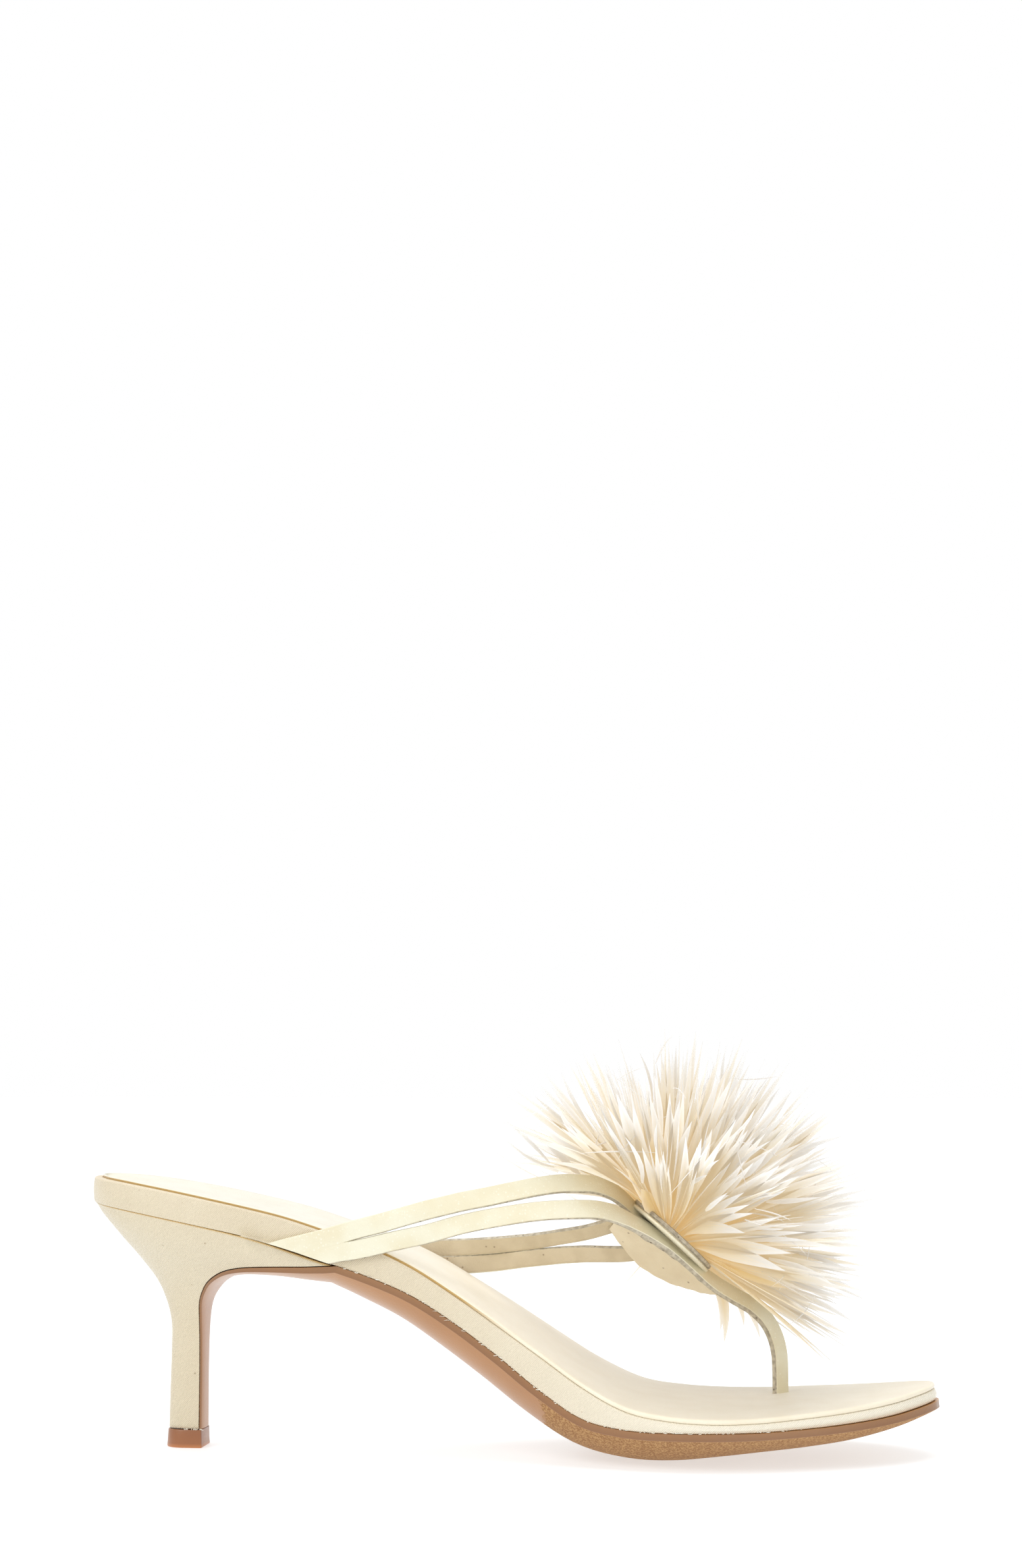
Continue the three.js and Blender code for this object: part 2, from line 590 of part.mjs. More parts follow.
function outsoleSolid() {
  const rows = [];
  const breastSteps = 20;
  for (let step = 0; step < breastSteps; step += 1) {
    const at = step / breastSteps;
    const { x, z, run } = breastPoint(at, fitGap);
    const lowered = step === 0 ? liftHeight + fitGap : z;
    const total = readTable(breastRows, at, "thick") * outsoleDepth;
    const strip = Math.min(readTable(breastRows, at, "strip") * edgeStrip, total * 0.7);
    const outer = heelHalf(x, lowered, -1);
    const inner = heelHalf(x, lowered, 1);
    rows.push(outsoleRow(x, lowered, run, outer, inner, strip, total - strip));
  }
  const wingTip = breastAhead + wingLength;
  soleStations.filter((along) => placeOf(along) > wingTip + fitGap).forEach((along) => {
    const x = placeOf(along);
    const run = new THREE.Vector2(2, seamHeight(x + 1) - seamHeight(x - 1)).normalize();
    const stands = welt * Math.max(0, (along - 0.5) * 2);
    const outer = halfWidth(along, -1) + stands * (1 - along ** 40);
    const inner = halfWidth(along, 1) + stands * (1 - along ** 40);
    const belly = profileAt(x, "belly") * outsoleDepth;
    rows.push(outsoleRow(x + stands, seamHeight(x) - fitGap, run, outer, inner, edgeStrip, belly));
  });
  return toSolid(skin(rows, true, false));
}

// Top lift: a moulded tip, round behind and flat in front, on which the heel stands
function topLiftSolid() {
  const half = liftWidth / 2;
  const flare = fitGap;
  const rows = [[0, flare], [liftHeight, 0]].map(([z, out]) => {
    const arc = [];
    const steps = 14;
    for (let step = 0; step <= steps; step += 1) {
      const turn = (Math.PI * step) / steps;
      const x = -liftBack + half - (half + out) * Math.sin(turn);
      arc.push([x, -(half + out) * Math.cos(turn), z]);
    }
    return [...arc, [liftFront, half + out, z], [liftFront, -half - out, z]];
  });
  return toSolid(skin(rows, true, true));
}

// Where a row of an upper's table lies. A strap that hugs the footbed lies a clearance off its side.
function upperPoint({ along, out, over, hug = 0 }, side) {
  const x = placeOf(along);
  const beside = halfWidth(along, side) + fitGap + strapThickness / 2;
  const y = hug * beside + ((1 - hug) * out * ballWidth) / 2;
  return new THREE.Vector3(x, side * y, treadHeight(x) + over * strapRise);
}

// A strap: a flat section with softened corners, carried along its middle line
function strapSolid(rows, side, width, thickness) {
  const middle = rows.map((row) => upperPoint(row, side));
  const sections = middle.map((point, index) => {
    const before = middle[Math.max(index - 1, 0)];
    const after = middle[Math.min(index + 1, middle.length - 1)];
    const run = after.clone().sub(before).normalize();
    const outward = new THREE.Vector3(0, side, 0);
    outward.addScaledVector(run, -outward.dot(run)).normalize();
    const upward = outward.clone().cross(run).multiplyScalar(-side);
    const lean = THREE.MathUtils.degToRad(rows[index].lean);
    const face = outward.clone().multiplyScalar(Math.cos(lean)).addScaledVector(upward, Math.sin(lean));
    const across = run.clone().cross(face).normalize();
    return strapSection(point, across, face, width / 2, thickness / 2);
  });
  return toSolid(skin(sections, true, true));
}

function strapSection(point, across, face, half, thick) {
  const soft = thick * 0.6;
  const corners = [
    [-half, -thick + soft], [-half, thick - soft], [-half + soft, thick], [half - soft, thick],
    [half, thick - soft], [half, -thick + soft], [half - soft, -thick], [-half + soft, -thick],
  ];
  return corners.map(([u, v]) => (
    point.clone().addScaledVector(across, u).addScaledVector(face, v).toArray()
  ));
}

// The vamp patch: a thin leaf, arched over its ridge from the near to the far edge
function patchSolid(thickness) {
  const steps = 8;
  const lines = patchRows.map(({ near, ridge, far }) => {
    const points = [near, ridge, far].map((place) => upperPoint(place, -1));
    const arch = new THREE.QuadraticBezierCurve3(
      points[0],
      points[1].clone().multiplyScalar(2).addScaledVector(points[0], -0.5).addScaledVector(points[2], -0.5),
      points[2],
    );
    return arch.getPoints(steps);
  });
  const rows = lines.map((line, index) => {
    const before = lines[Math.max(index - 1, 0)];
    const after = lines[Math.min(index + 1, lines.length - 1)];
    const normals = line.map((point, place) => {
      const run = after[place].clone().sub(before[place]);
      const across = line[Math.min(place + 1, steps)].clone().sub(line[Math.max(place - 1, 0)]);
      return across.cross(run).normalize().multiplyScalar(thickness / 2);
    });
    const outside = line.map((point, place) => point.clone().add(normals[place]).toArray());
    const inside = line.map((point, place) => point.clone().sub(normals[place]).toArray());
    return [...outside, ...inside.reverse()];
  });
  return toSolid(skin(rows, true, true));
}

// Everything below the footbed, up to the end of the straps' anchors
function belowSeam() {
  const shape = new THREE.Shape();
  const from = -seatOverhang;
  const to = placeOf(0.5);
  const steps = 24;
  shape.moveTo(from, 0);
  for (let step = 0; step <= steps; step += 1) {
    const x = from + ((to - from) * step) / steps;
    shape.lineTo(x, seamHeight(x) + fitGap / 3);
  }
  shape.lineTo(to, 0);
  return toSolid(upright(shape, 2 * ballWidth));
}

// The disc's own frame: its middle, and its axis along the frame's Z
function discFrame() {
  const middle = upperPoint(discRows[0], -1);
  const turn = new THREE.Euler(
    -THREE.MathUtils.degToRad(discRoll),
    THREE.MathUtils.degToRad(discPitch),
    0,
    "YXZ",
  );
  return new THREE.Matrix4().makeRotationFromEuler(turn).setPosition(middle);
}

function discSolid(radius, thickness) {
  const half = thickness / 2;
  const groove = thickness * 0.06;
  const profile = [
    [0, -half], [radius * 0.97, -half], [radius, -half + groove], [radius, -groove],
    [radius - groove * 2, 0], [radius - groove, groove], [radius - groove, half - groove],
    [radius * 0.96, half], [0, half],
  ].map(([r, z]) => new THREE.Vector2(r, z));
  const geometry = new THREE.LatheGeometry(profile, 28);
  geometry.rotateX(Math.PI / 2);
  geometry.applyMatrix4(discFrame());
  return toSolid(geometry);
}

// Straps, patch and thong joined into one, thicker all round by a margin
function strapsAndPatch(margin) {
  const width = strapWidth + 2 * margin;
  const thickness = strapThickness + 2 * margin;
  const withThong = [...nearLowerRows, thongFoot(thongDepth)];
  const straps = [[nearUpperRows, -1], [withThong, -1], [farUpperRows, 1], [farLowerRows, 1]];
  return straps.reduce(
    (whole, [rows, side]) => whole.add(strapSolid(rows, side, width, thickness)),
    patchSolid(patchThickness + 2 * margin),
  );
}

// Upper: cut off at the sole's seam and kept clear of the disc's seat
function upperSolid() {
  const seat = discSolid(discRadius + fitGap, discThickness + 2 * fitGap);
  return strapsAndPatch(0).subtract(belowSeam()).subtract(seat);
}

// The end of the thong, taken down into the sole by a depth
function thongFoot(depth) {
  const last = nearLowerRows[nearLowerRows.length - 1];
  return { ...last, over: -depth / strapRise };
}

// The thong's slot, a clearance wider than the thong all round
function thongSlot() {
  const rows = [...nearLowerRows.slice(-4), thongFoot(thongDepth + fitGap)];
  return strapSolid(rows, -1, strapWidth + 2 * fitGap, strapThickness + 2 * fitGap);
}

// A feather lock: a flat blade, widest at two fifths of its reach, ending in a small blunt tip
function lockSolid(heading, reach, twist) {
  const across = new THREE.Vector3(0, 0, 1).cross(heading).normalize().applyAxisAngle(heading, twist);
  const blade = heading.clone().cross(across).normalize();
  const stages = [
    { at: 0.12, wide: 0.4 }, { at: 0.4, wide: 1 }, { at: 0.75, wide: 0.62 }, { at: 1, wide: 0.08 },
  ];
  const rows = stages.map(({ at, wide }) => {
    const middle = heading.clone().multiplyScalar(reach * at);
    const half = (featherWidth * wide) / 2;
    const thick = (featherThickness / 2) * (0.35 + 0.65 * wide);
    return [[-half, 0], [0, thick], [half, 0], [0, -thick]].map(([u, v]) => (
      middle.clone().addScaledVector(across, u).addScaledVector(blade, v).toArray()
    ));
  });
  return toSolid(skin(rows, true, true));
}

// Pompom: a domed core on the disc, with the locks spread over it by a golden angle spiral.
// A lock that would meet a strap or the disc is lifted towards the pompom's axis.
function pompomSolid() {
  const place = discFrame().multiply(new THREE.Matrix4().makeTranslation(0, 0, discThickness / 2 + fitGap));
  const set = (solid) => solid.transform(place.elements);
  const seat = discSolid(discRadius + fitGap, discThickness + fitGap);
  const keepClear = strapsAndPatch(fitGap).add(seat);
  const golden = Math.PI * (3 - Math.sqrt(5));
  const lowest = Math.cos(THREE.MathUtils.degToRad(featherSpread));
  let whole = set(coreSolid());
  for (let index = 0; index < featherCount; index += 1) {
    const turn = index * golden;
    const reach = featherReach * (0.94 + 0.06 * Math.sin(index * 78.233));
    let height = 1 - ((1 - lowest) * (index + 0.5)) / featherCount;
    let lock = null;
    do {
      const ring = Math.sqrt(1 - height * height);
      const heading = new THREE.Vector3(ring * Math.cos(turn), ring * Math.sin(turn), height);
      const droop = Math.min(1, Math.max(0, 0.15 - height) / 0.4);
      lock = set(lockSolid(heading, reach * (1 - 0.35 * droop), index * featherTwist));
      height += 0.05;
    } while (height < 0.9 && !lock.intersect(keepClear).isEmpty());
    whole = whole.add(lock);
  }
  return whole;
}

function coreSolid() {
  const steps = 8;
  const profile = [new THREE.Vector2(0, 0)];
  for (let step = 0; step <= steps; step += 1) {
    const turn = (Math.PI * step) / (2 * steps);
    profile.push(new THREE.Vector2(coreRadius * Math.cos(turn), coreRadius * 0.8 * Math.sin(turn)));
  }
  profile[profile.length - 1].x = 0;
  const geometry = new THREE.LatheGeometry(profile, 20);
  geometry.rotateX(Math.PI / 2);
  return toSolid(geometry);
}

const upper = upperSolid();
const slot = thongSlot();
const pieces = [
  ["footbed", footbedSolid().subtract(slot), satin],
  ["insole_sock", sockSolid().subtract(slot), sockLeather],
  ["heel", heelSolid(), satin],
  ["outsole", outsoleSolid(), brownLeather],
  ["top_lift", topLiftSolid(), brownRubber],
  ["upper", upper, strapLeather],
  ["pompom_backing", discSolid(discRadius, discThickness), strapLeather],
  ["feather_pompom", pompomSolid(), feather],
];

const group = new THREE.Group();
for (const [name, solid, material] of pieces) {
  const mesh = new THREE.Mesh(toGeometry(solid), material);
  mesh.name = name;
  group.add(mesh);
}

export default group;
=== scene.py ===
# A heeled thong sandal in cream satin and pearl leather with a feather pompom: the right shoe of a
# pair, standing empty. X runs from heel to toe, Y towards the big toe's side and Z up. Sizes are in
# millimetres; the places and scales in the shaders are in metres.

import bmesh
import bpy
import numpy as np
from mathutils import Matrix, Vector


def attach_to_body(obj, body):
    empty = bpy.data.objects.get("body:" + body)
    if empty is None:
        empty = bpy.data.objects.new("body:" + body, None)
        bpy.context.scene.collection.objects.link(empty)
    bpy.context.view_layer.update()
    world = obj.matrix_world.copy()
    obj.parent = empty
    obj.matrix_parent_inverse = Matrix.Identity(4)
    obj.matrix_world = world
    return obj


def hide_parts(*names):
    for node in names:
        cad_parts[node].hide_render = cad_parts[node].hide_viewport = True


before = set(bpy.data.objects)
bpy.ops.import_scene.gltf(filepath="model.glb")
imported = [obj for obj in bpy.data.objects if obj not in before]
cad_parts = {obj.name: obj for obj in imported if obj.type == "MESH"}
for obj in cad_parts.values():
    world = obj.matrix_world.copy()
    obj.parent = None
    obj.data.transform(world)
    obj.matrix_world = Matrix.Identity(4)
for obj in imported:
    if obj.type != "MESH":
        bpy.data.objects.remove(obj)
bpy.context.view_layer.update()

# Footbed: a moulded board that gives the sole its arch and its toe spring, wrapped in cream
# satin. The wrap shows as the band between insole and outsole, rolled over at its top edge, and
# around the seat it stands up as a narrow rim.
MM = 0.001
SOLE_LENGTH = 240
BALL_WIDTH = 76
SEAT_OVERHANG = 28  # how far the seat reaches behind the origin
SEAT_HEIGHT = 69.3
OUTSOLE_DEPTH = 10.3  # where the sole is deepest, under the ball
TOE_SPRING = 5.3
FOOTBED_THICKNESS = 7.5
SOLE_CROWN = 1.2  # how far the middle stands above the edge
EDGE_ROLL = 0.8
LOW_ROLL = 0.5
BAND_BULGE = 0.22
SOCK_THICKNESS = 1.2
SOCK_MARGIN = 2.2  # width of the bare rim around the seat
RIM_HEIGHT = 0.7
RIM_STEP = 0.05  # slant of the rim's inner wall
GAP = 0.3
BED_STATIONS = 170
SEAT_FADE = 0.06  # share of the length over which the marks round the seat fade out


def table(names, *rows):
    """Rows of numbers as one array for each named column."""
    return dict(zip(names.split(), np.array(rows, float).T))


# Half widths of the outline, as shares of half the ball's width
outline = table(
    "along outer inner",
    (0, 0, 0), (0.01, 0.226, 0.226), (0.03, 0.384, 0.384), (0.07, 0.532, 0.53),
    (0.12, 0.616, 0.608), (0.2, 0.658, 0.634), (0.3, 0.645, 0.605), (0.42, 0.635, 0.6),
    (0.55, 0.71, 0.776), (0.63, 0.842, 0.947), (0.7, 0.947, 1.047), (0.77, 0.921, 1.079),
    (0.85, 0.758, 0.98), (0.91, 0.57, 0.835), (0.95, 0.38, 0.68), (0.98, 0.16, 0.485),
    (1, -0.16, 0.16),
)
# Side view, as shares of the seat's height, the toe spring, the thicknesses and the crown
profile = table(
    "along rise spring thick crown rim belly",
    (0, 1, 0, 0.96, -0.6, 1, 0.485),
    (0.05, 0.973, 0, 1, -0.8, 1, 0.485),
    (0.1, 0.94, 0, 1.013, -0.9, 1, 0.485),
    (0.15, 0.902, 0, 1.013, -0.9, 1, 0.485),
    (0.2, 0.861, 0, 1.005, -0.8, 1, 0.485),
    (0.25, 0.807, 0, 1.05, -0.6, 1, 0.485),
    (0.3, 0.741, 0, 1.08, -0.4, 0.9, 0.485),
    (0.35, 0.673, 0, 1.093, -0.2, 0.75, 0.6),
    (0.4, 0.588, 0, 1.08, 0, 0.5, 0.69),
    (0.45, 0.466, 0, 1.12, 0.2, 0.25, 0.757),
    (0.5, 0.322, 0, 1.253, 0.4, 0, 0.777),
    (0.55, 0.166, 0, 1.4, 0.6, 0, 0.777),
    (0.6, 0.044, 0, 1.307, 0.8, 0, 0.79),
    (0.65, 0.005, 0, 0.84, 0.9, 0, 0.85),
    (0.7, 0, 0, 0.6, 1, 0, 0.84),
    (0.75, 0, 0, 0.507, 1, 0, 0.72),
    (0.8, 0, 0.04, 0.507, 0.9, 0, 0.6),
    (0.85, 0, 0.15, 0.547, 0.7, 0, 0.524),
    (0.9, 0, 0.32, 0.573, 0.5, 0, 0.427),
    (0.95, 0, 0.58, 0.6, 0.3, 0, 0.25),
    (1, 0, 1, 0.613, 0, 0, 0.03),
)


def read(rows, at, column):
    """Cubic curve through a column, whose slope at a row is that between the row's neighbours."""
    keys = rows["along"]
    values = rows[column]
    last = len(keys) - 1
    at = np.clip(at, keys[0], keys[-1])
    start = np.clip(np.searchsorted(keys, at, side="right") - 1, 0, last - 1)
    end = start + 1
    before = np.maximum(start - 1, 0)
    after = np.minimum(end + 1, last)
    span = keys[end] - keys[start]
    t = (at - keys[start]) / span
    start_slope = (values[end] - values[before]) / (keys[end] - keys[before]) * span
    end_slope = (values[after] - values[start]) / (keys[after] - keys[start]) * span
    rise = t * t * (3 - 2 * t)
    pull = t * (1 - t) ** 2 * start_slope + t * t * (t - 1) * end_slope
    return values[start] + rise * (values[end] - values[start]) + pull


def turn_of(along):
    """Angle of a half circle over the sole's length, by which the outline is read."""
    return np.arccos(1 - 2 * np.clip(along, 0, 1))


turned_outline = {**outline, "along": turn_of(outline["along"])}


def place_of(along):
    """X of a share of the sole's length, counted from the back of the seat."""
    return np.asarray(along) * SOLE_LENGTH - SEAT_OVERHANG


def along_of(x):
    """Share of the sole's length at an X."""
    return (np.asarray(x) + SEAT_OVERHANG) / SOLE_LENGTH


def half_width(along, side):
    """Half width of the footbed on the outer side, -1, or the inner side, 1."""
    return read(turned_outline, turn_of(along), "outer" if side < 0 else "inner") * BALL_WIDTH / 2


def seam_height(x):
    """Height of the footbed's underside: the arch over the ball, plus the toe spring."""
    arch = read(profile, along_of(x), "rise") * (SEAT_HEIGHT - OUTSOLE_DEPTH)
    return OUTSOLE_DEPTH + arch + read(profile, along_of(x), "spring") * TOE_SPRING


def bed_height(x):
    """Height of the footbed's top where the sock lies on it."""
    rim = read(profile, along_of(x), "rim")
    sunk = rim * RIM_HEIGHT + (1 - rim) * (SOCK_THICKNESS + GAP)
    return seam_height(x) + read(profile, along_of(x), "thick") * FOOTBED_THICKNESS - sunk


def tread_height(x):
    """Height of the sock's top at the sole's edge: the bed's, the gap and the sock on it."""
    return bed_height(x) + GAP + SOCK_THICKNESS


def crown_at(x):
    """How far the sole's middle stands above its edge, and below it where it is hollow."""
    return read(profile, along_of(x), "crown") * SOLE_CROWN


def outline_point(along, side, inset):
    """Point of the outline, moved in at right angles to it; the two tips keep to the middle."""
    middle = (half_width(along, 1) - half_width(along, -1)) / 2
    turn = turn_of(along)
    step = 0.002
    before = (1 - np.cos(np.maximum(turn - step, 0))) / 2
    after = (1 - np.cos(np.minimum(turn + step, np.pi))) / 2
    run = (after - before) * SOLE_LENGTH
    growth = half_width(after, side) - half_width(before, side)
    slant = np.maximum(np.hypot(run, growth), 1e-9)
    x = place_of(along) + inset * growth / slant
    y = side * (half_width(along, side) - inset * run / slant)
    x = np.where(along <= 0, place_of(0) + inset, x)
    x = np.where(along >= 1, place_of(1) - inset, x)
    y = np.where((along <= 0) | (along >= 1), middle, y)
    return x, y


def stations(count):
    """Shares of the sole's length at even angles of a half circle, so close at its round ends."""
    return (1 - np.cos(np.linspace(0, np.pi, count))) / 2


def quarter(steps):
    """Sine and cosine over a quarter turn."""
    angle = np.linspace(0, np.pi / 2, steps)
    return np.sin(angle), np.cos(angle)


ACROSS = 11  # columns of a slab's lid, and of its floor


def slab_grid(along, inset, height, top, base):
    """One closed loop a place: up the outer wall, over the top, down the inner wall, back below.

    The walls stand on the outline, moved in by the insets. Lid and floor are straight lines from
    wall to wall, with the height of their surface at X and at the swell 4 s (1 - s) of the share s.
    """
    along = along[:, None]
    walls = []
    for side in (-1, 1):
        x, y = outline_point(along, side, inset)
        walls.append(np.stack([x, y, height(x)], axis=-1))
    outer, inner = walls
    share = np.linspace(0, 1, ACROSS + 2)[1:-1]
    swell = 4 * share * (1 - share)

    def bridge(start, end, surface):
        line = start[:, None] + (end - start)[:, None] * share[:, None]
        line[..., 2] = surface(line[..., 0], swell)
        return line

    lid = bridge(outer[:, -1], inner[:, -1], top)
    floor = bridge(inner[:, 0], outer[:, 0], base)
    return np.concatenate([outer, lid, inner[:, ::-1], floor], axis=1)


def slab_marks(side):
    """The marks of a slab's loops: one wall's, the same on the other wall and none between."""
    middle = np.zeros((len(side), ACROSS))
    return np.concatenate([side, middle, side[:, ::-1], middle], axis=1)


SHARP = np.radians(42)  # edges that turn by more stay sharp
MERGE_DISTANCE = 2e-6


def add_mesh(name, points, faces, materials, panels=None, uv=None, marks=None):
    """A mesh object from points in millimetres, with its doubles merged and its faces outwards."""
    mesh = bpy.data.meshes.new(name)
    mesh.from_pydata((points * MM).tolist(), [], faces)
    mesh.polygons.foreach_set("use_smooth", np.ones(len(faces), bool))
    if panels is not None:
        mesh.polygons.foreach_set("material_index", np.asarray(panels, np.int32))
    if uv is not None:
        mesh.uv_layers.new(name="UVMap").data.foreach_set("uv", np.asarray(uv, np.float32).ravel())
    for mark, values in (marks or {}).items():
        layer = mesh.attributes.new(mark, "FLOAT", "POINT")
        layer.data.foreach_set("value", np.asarray(values, np.float32).ravel())
    edit = bmesh.new()
    edit.from_mesh(mesh)
    bmesh.ops.remove_doubles(edit, verts=edit.verts, dist=MERGE_DISTANCE)
    bmesh.ops.recalc_face_normals(edit, faces=edit.faces)
    edit.to_mesh(mesh)
    edit.free()
    mesh.set_sharp_from_angle(angle=SHARP)
    for material in materials:
        mesh.materials.append(material)
    piece = bpy.data.objects.new(name, mesh)
    bpy.context.scene.collection.objects.link(piece)
    return piece


def add_skin(name, grid, materials, panels=None, capped=True, marks=None):
    """A closed skin over a grid whose columns run round: quads, and a ladder of quads on each end.

    The UV map runs from the first row to the last, and once round.
    """
    rows, columns = grid.shape[:2]
    row, column = np.mgrid[0:rows - 1, 0:columns]
    corner = row * columns + column
    beside = row * columns + (column + 1) % columns
    quads = np.stack([corner, beside, beside + columns, corner + columns], axis=-1).reshape(-1, 4)
    u = np.stack([row, row, row + 1, row + 1], axis=-1) / (rows - 1)
    v = np.stack([column, column + 1, column + 1, column], axis=-1) / columns
    uv = np.stack([u, v], axis=-1).reshape(-1, 2)
    faces = quads.tolist()
    if panels is not None:
        panels = np.tile(panels, rows - 1)
    if capped:
        rung = np.arange(columns // 2 - 1)
        near = np.stack([rung, rung + 1, columns - 2 - rung, columns - 1 - rung], axis=-1)
        faces += np.concatenate([near, near + (rows - 1) * columns]).tolist()
        uv = np.concatenate([uv, np.zeros((8 * len(rung), 2))])
        if panels is not None:
            panels = np.append(panels, np.zeros(2 * len(rung)))
    return add_mesh(name, grid.reshape(-1, 3), faces, materials, panels, uv, marks)


def attach(piece, node):
    """The piece stands for a node of the frame, whose part it hides, and rides with the root."""
    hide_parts(node)
    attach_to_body(piece, "root")


def add_node(tree, kind, settings=None, inputs=None):
    """A shader node with its settings made, and its inputs filled by values or by other outputs."""
    made = tree.nodes.new(kind)
    for key, value in (settings or {}).items():
        setattr(made, key, value)
    for key, value in (inputs or {}).items():
        if isinstance(value, bpy.types.NodeSocket):
            tree.links.new(value, made.inputs[key])
        else:
            made.inputs[key].default_value = value
    return made


def attribute(tree, name):
    """A mesh attribute's value."""
    return add_node(tree, "ShaderNodeAttribute", {"attribute_name": name}).outputs["Fac"]


def object_place(tree):
    """The place on the object, and its X."""
    place = add_node(tree, "ShaderNodeTexCoord").outputs["Object"]
    return place, add_node(tree, "ShaderNodeSeparateXYZ", None, {"Vector": place}).outputs["X"]


def calculate(tree, operation, *values):
    """A sum, a product or another result, of fixed values or other nodes' outputs."""
    inputs = dict(enumerate(values))
    return add_node(tree, "ShaderNodeMath", {"operation": operation}, inputs).outputs[0]


def noise(tree, vector, scale, detail=3.0, roughness=0.5):
    """Cloudy noise from 0 to 1."""
    return add_node(
        tree, "ShaderNodeTexNoise", None,
        {"Vector": vector, "Scale": scale, "Detail": detail, "Roughness": roughness},
    ).outputs["Fac"]


def span(tree, value, low, high, to_low=0.0, to_high=1.0):
    """Value taken smoothly from one range to another and held at its ends."""
    return add_node(
        tree, "ShaderNodeMapRange", {"interpolation_type": "SMOOTHSTEP"},
        {"Value": value, "From Min": low, "From Max": high, "To Min": to_low, "To Max": to_high},
    ).outputs[0]


MIX_INPUTS = (0, 6, 7)  # of a mix node for colours: its share and its two colours
MIX_OUTPUT = 2


def mix(tree, share, first, second):
    """A first colour taken to a second by a share; either may be fixed or a node's output."""
    made = add_node(tree, "ShaderNodeMix", {"data_type": "RGBA"})
    for number, value in zip(MIX_INPUTS, (share, first, second)):
        if isinstance(value, bpy.types.NodeSocket):
            tree.links.new(value, made.inputs[number])
        else:
            made.inputs[number].default_value = (*value, 1)
    return made.outputs[MIX_OUTPUT]


def new_group(name, inputs, outputs):
    """An empty shader node group with named inputs, each with its usual value, and outputs."""
    tree = bpy.data.node_groups.new(name, "ShaderNodeTree")
    for socket, (kind, value) in inputs.items():
        made = tree.interface.new_socket(socket, in_out="INPUT", socket_type=kind)
        if value is not None:
            made.default_value = value
    for socket, kind in outputs.items():
        tree.interface.new_socket(socket, in_out="OUTPUT", socket_type=kind)
    return tree, tree.nodes.new("NodeGroupInput").outputs, tree.nodes.new("NodeGroupOutput").inputs


def use_group(tree, group, inputs):
    """The outputs of a node group, with its inputs filled."""
    return add_node(tree, "ShaderNodeGroup", {"node_tree": group}, inputs).outputs


def new_material(name, values):
    """A material with fixed values on its shader, the material's tree and the shader's inputs."""
    material = bpy.data.materials.new(name)
    material.use_nodes = True
    shader = material.node_tree.nodes["Principled BSDF"].inputs
    for key, value in values.items():
        shader[key].default_value = value
    return material, material.node_tree, shader


def add_relief(tree, shader, height, strength, depth=0.0001):
    """A height that shows in the shader's normals."""
    relief = {"Height": height, "Strength": strength, "Distance": depth}
    bump = add_node(tree, "ShaderNodeBump", None, relief)
    tree.links.new(bump.outputs[0], shader["Normal"])


# Fine grain: small plump cells, a finer fuzz over them and a slanting twill rib
grain_group, given, result = new_group(
    "fine grain",
    {"Vector": ("NodeSocketVector", None), "Cells": ("NodeSocketFloat", 2200.0),
     "Rib": ("NodeSocketFloat", 0.0), "Rib scale": ("NodeSocketFloat", 740.0)},
    {"Height": "NodeSocketFloat"},
)
cells = add_node(
    grain_group, "ShaderNodeTexVoronoi", {"feature": "SMOOTH_F1"},
    {"Vector": given["Vector"], "Scale": given["Cells"], "Smoothness": 0.6},
).outputs["Distance"]
fuzz = noise(grain_group, given["Vector"], 5200.0, 2.0)
slanted = add_node(
    grain_group, "ShaderNodeMapping", None,
    {"Vector": given["Vector"], "Rotation": (0, -np.pi / 4, 0)},
).outputs[0]
rib = add_node(
    grain_group, "ShaderNodeTexWave", {"bands_direction": "X"},
    {"Vector": slanted, "Scale": given["Rib scale"], "Distortion": 0.6, "Detail": 1.0},
).outputs["Fac"]
soft_cells = calculate(grain_group, "SUBTRACT", 1.0, cells)
with_fuzz = calculate(grain_group, "MULTIPLY_ADD", fuzz, 0.6, soft_cells)
with_rib = calculate(grain_group, "MULTIPLY_ADD", rib, given["Rib"], with_fuzz)
grain_group.links.new(with_rib, result["Height"])

# Uneven colour: wide soft clouds, and tiny specks here and there: dark pores, and on the pearl
# leather painted glints
mottle_group, given, result = new_group(
    "mottle, pores and glints",
    {"Vector": ("NodeSocketVector", None), "Cloud scale": ("NodeSocketFloat", 60.0),
     "Pore and glint scale": ("NodeSocketFloat", 300.0), "Pore and glint size": ("NodeSocketFloat", 0.1)},
    {"Cloud": "NodeSocketFloat", "Pores and glints": "NodeSocketFloat"},
)
clouds = noise(mottle_group, given["Vector"], given["Cloud scale"], 4.0)
spots = add_node(
    mottle_group, "ShaderNodeTexVoronoi", None,
    {"Vector": given["Vector"], "Scale": given["Pore and glint scale"]},
)
lot = add_node(
    mottle_group, "ShaderNodeSeparateColor", None, {"Color": spots.outputs["Color"]},
).outputs["Red"]
few = span(mottle_group, lot, 0.8, 0.82)
inside = add_node(
    mottle_group, "ShaderNodeMapRange", None,
    {"Value": spots.outputs["Distance"], "From Min": given["Pore and glint size"], "From Max": 0.0},
).outputs[0]
mottle_group.links.new(span(mottle_group, clouds, 0.3, 0.7), result["Cloud"])
mottle_group.links.new(calculate(mottle_group, "MULTIPLY", few, inside), result["Pores and glints"])

# Where a cover begins and ends to change its colour towards the toe
FORE_START = 0.06
FORE_END = 0.16


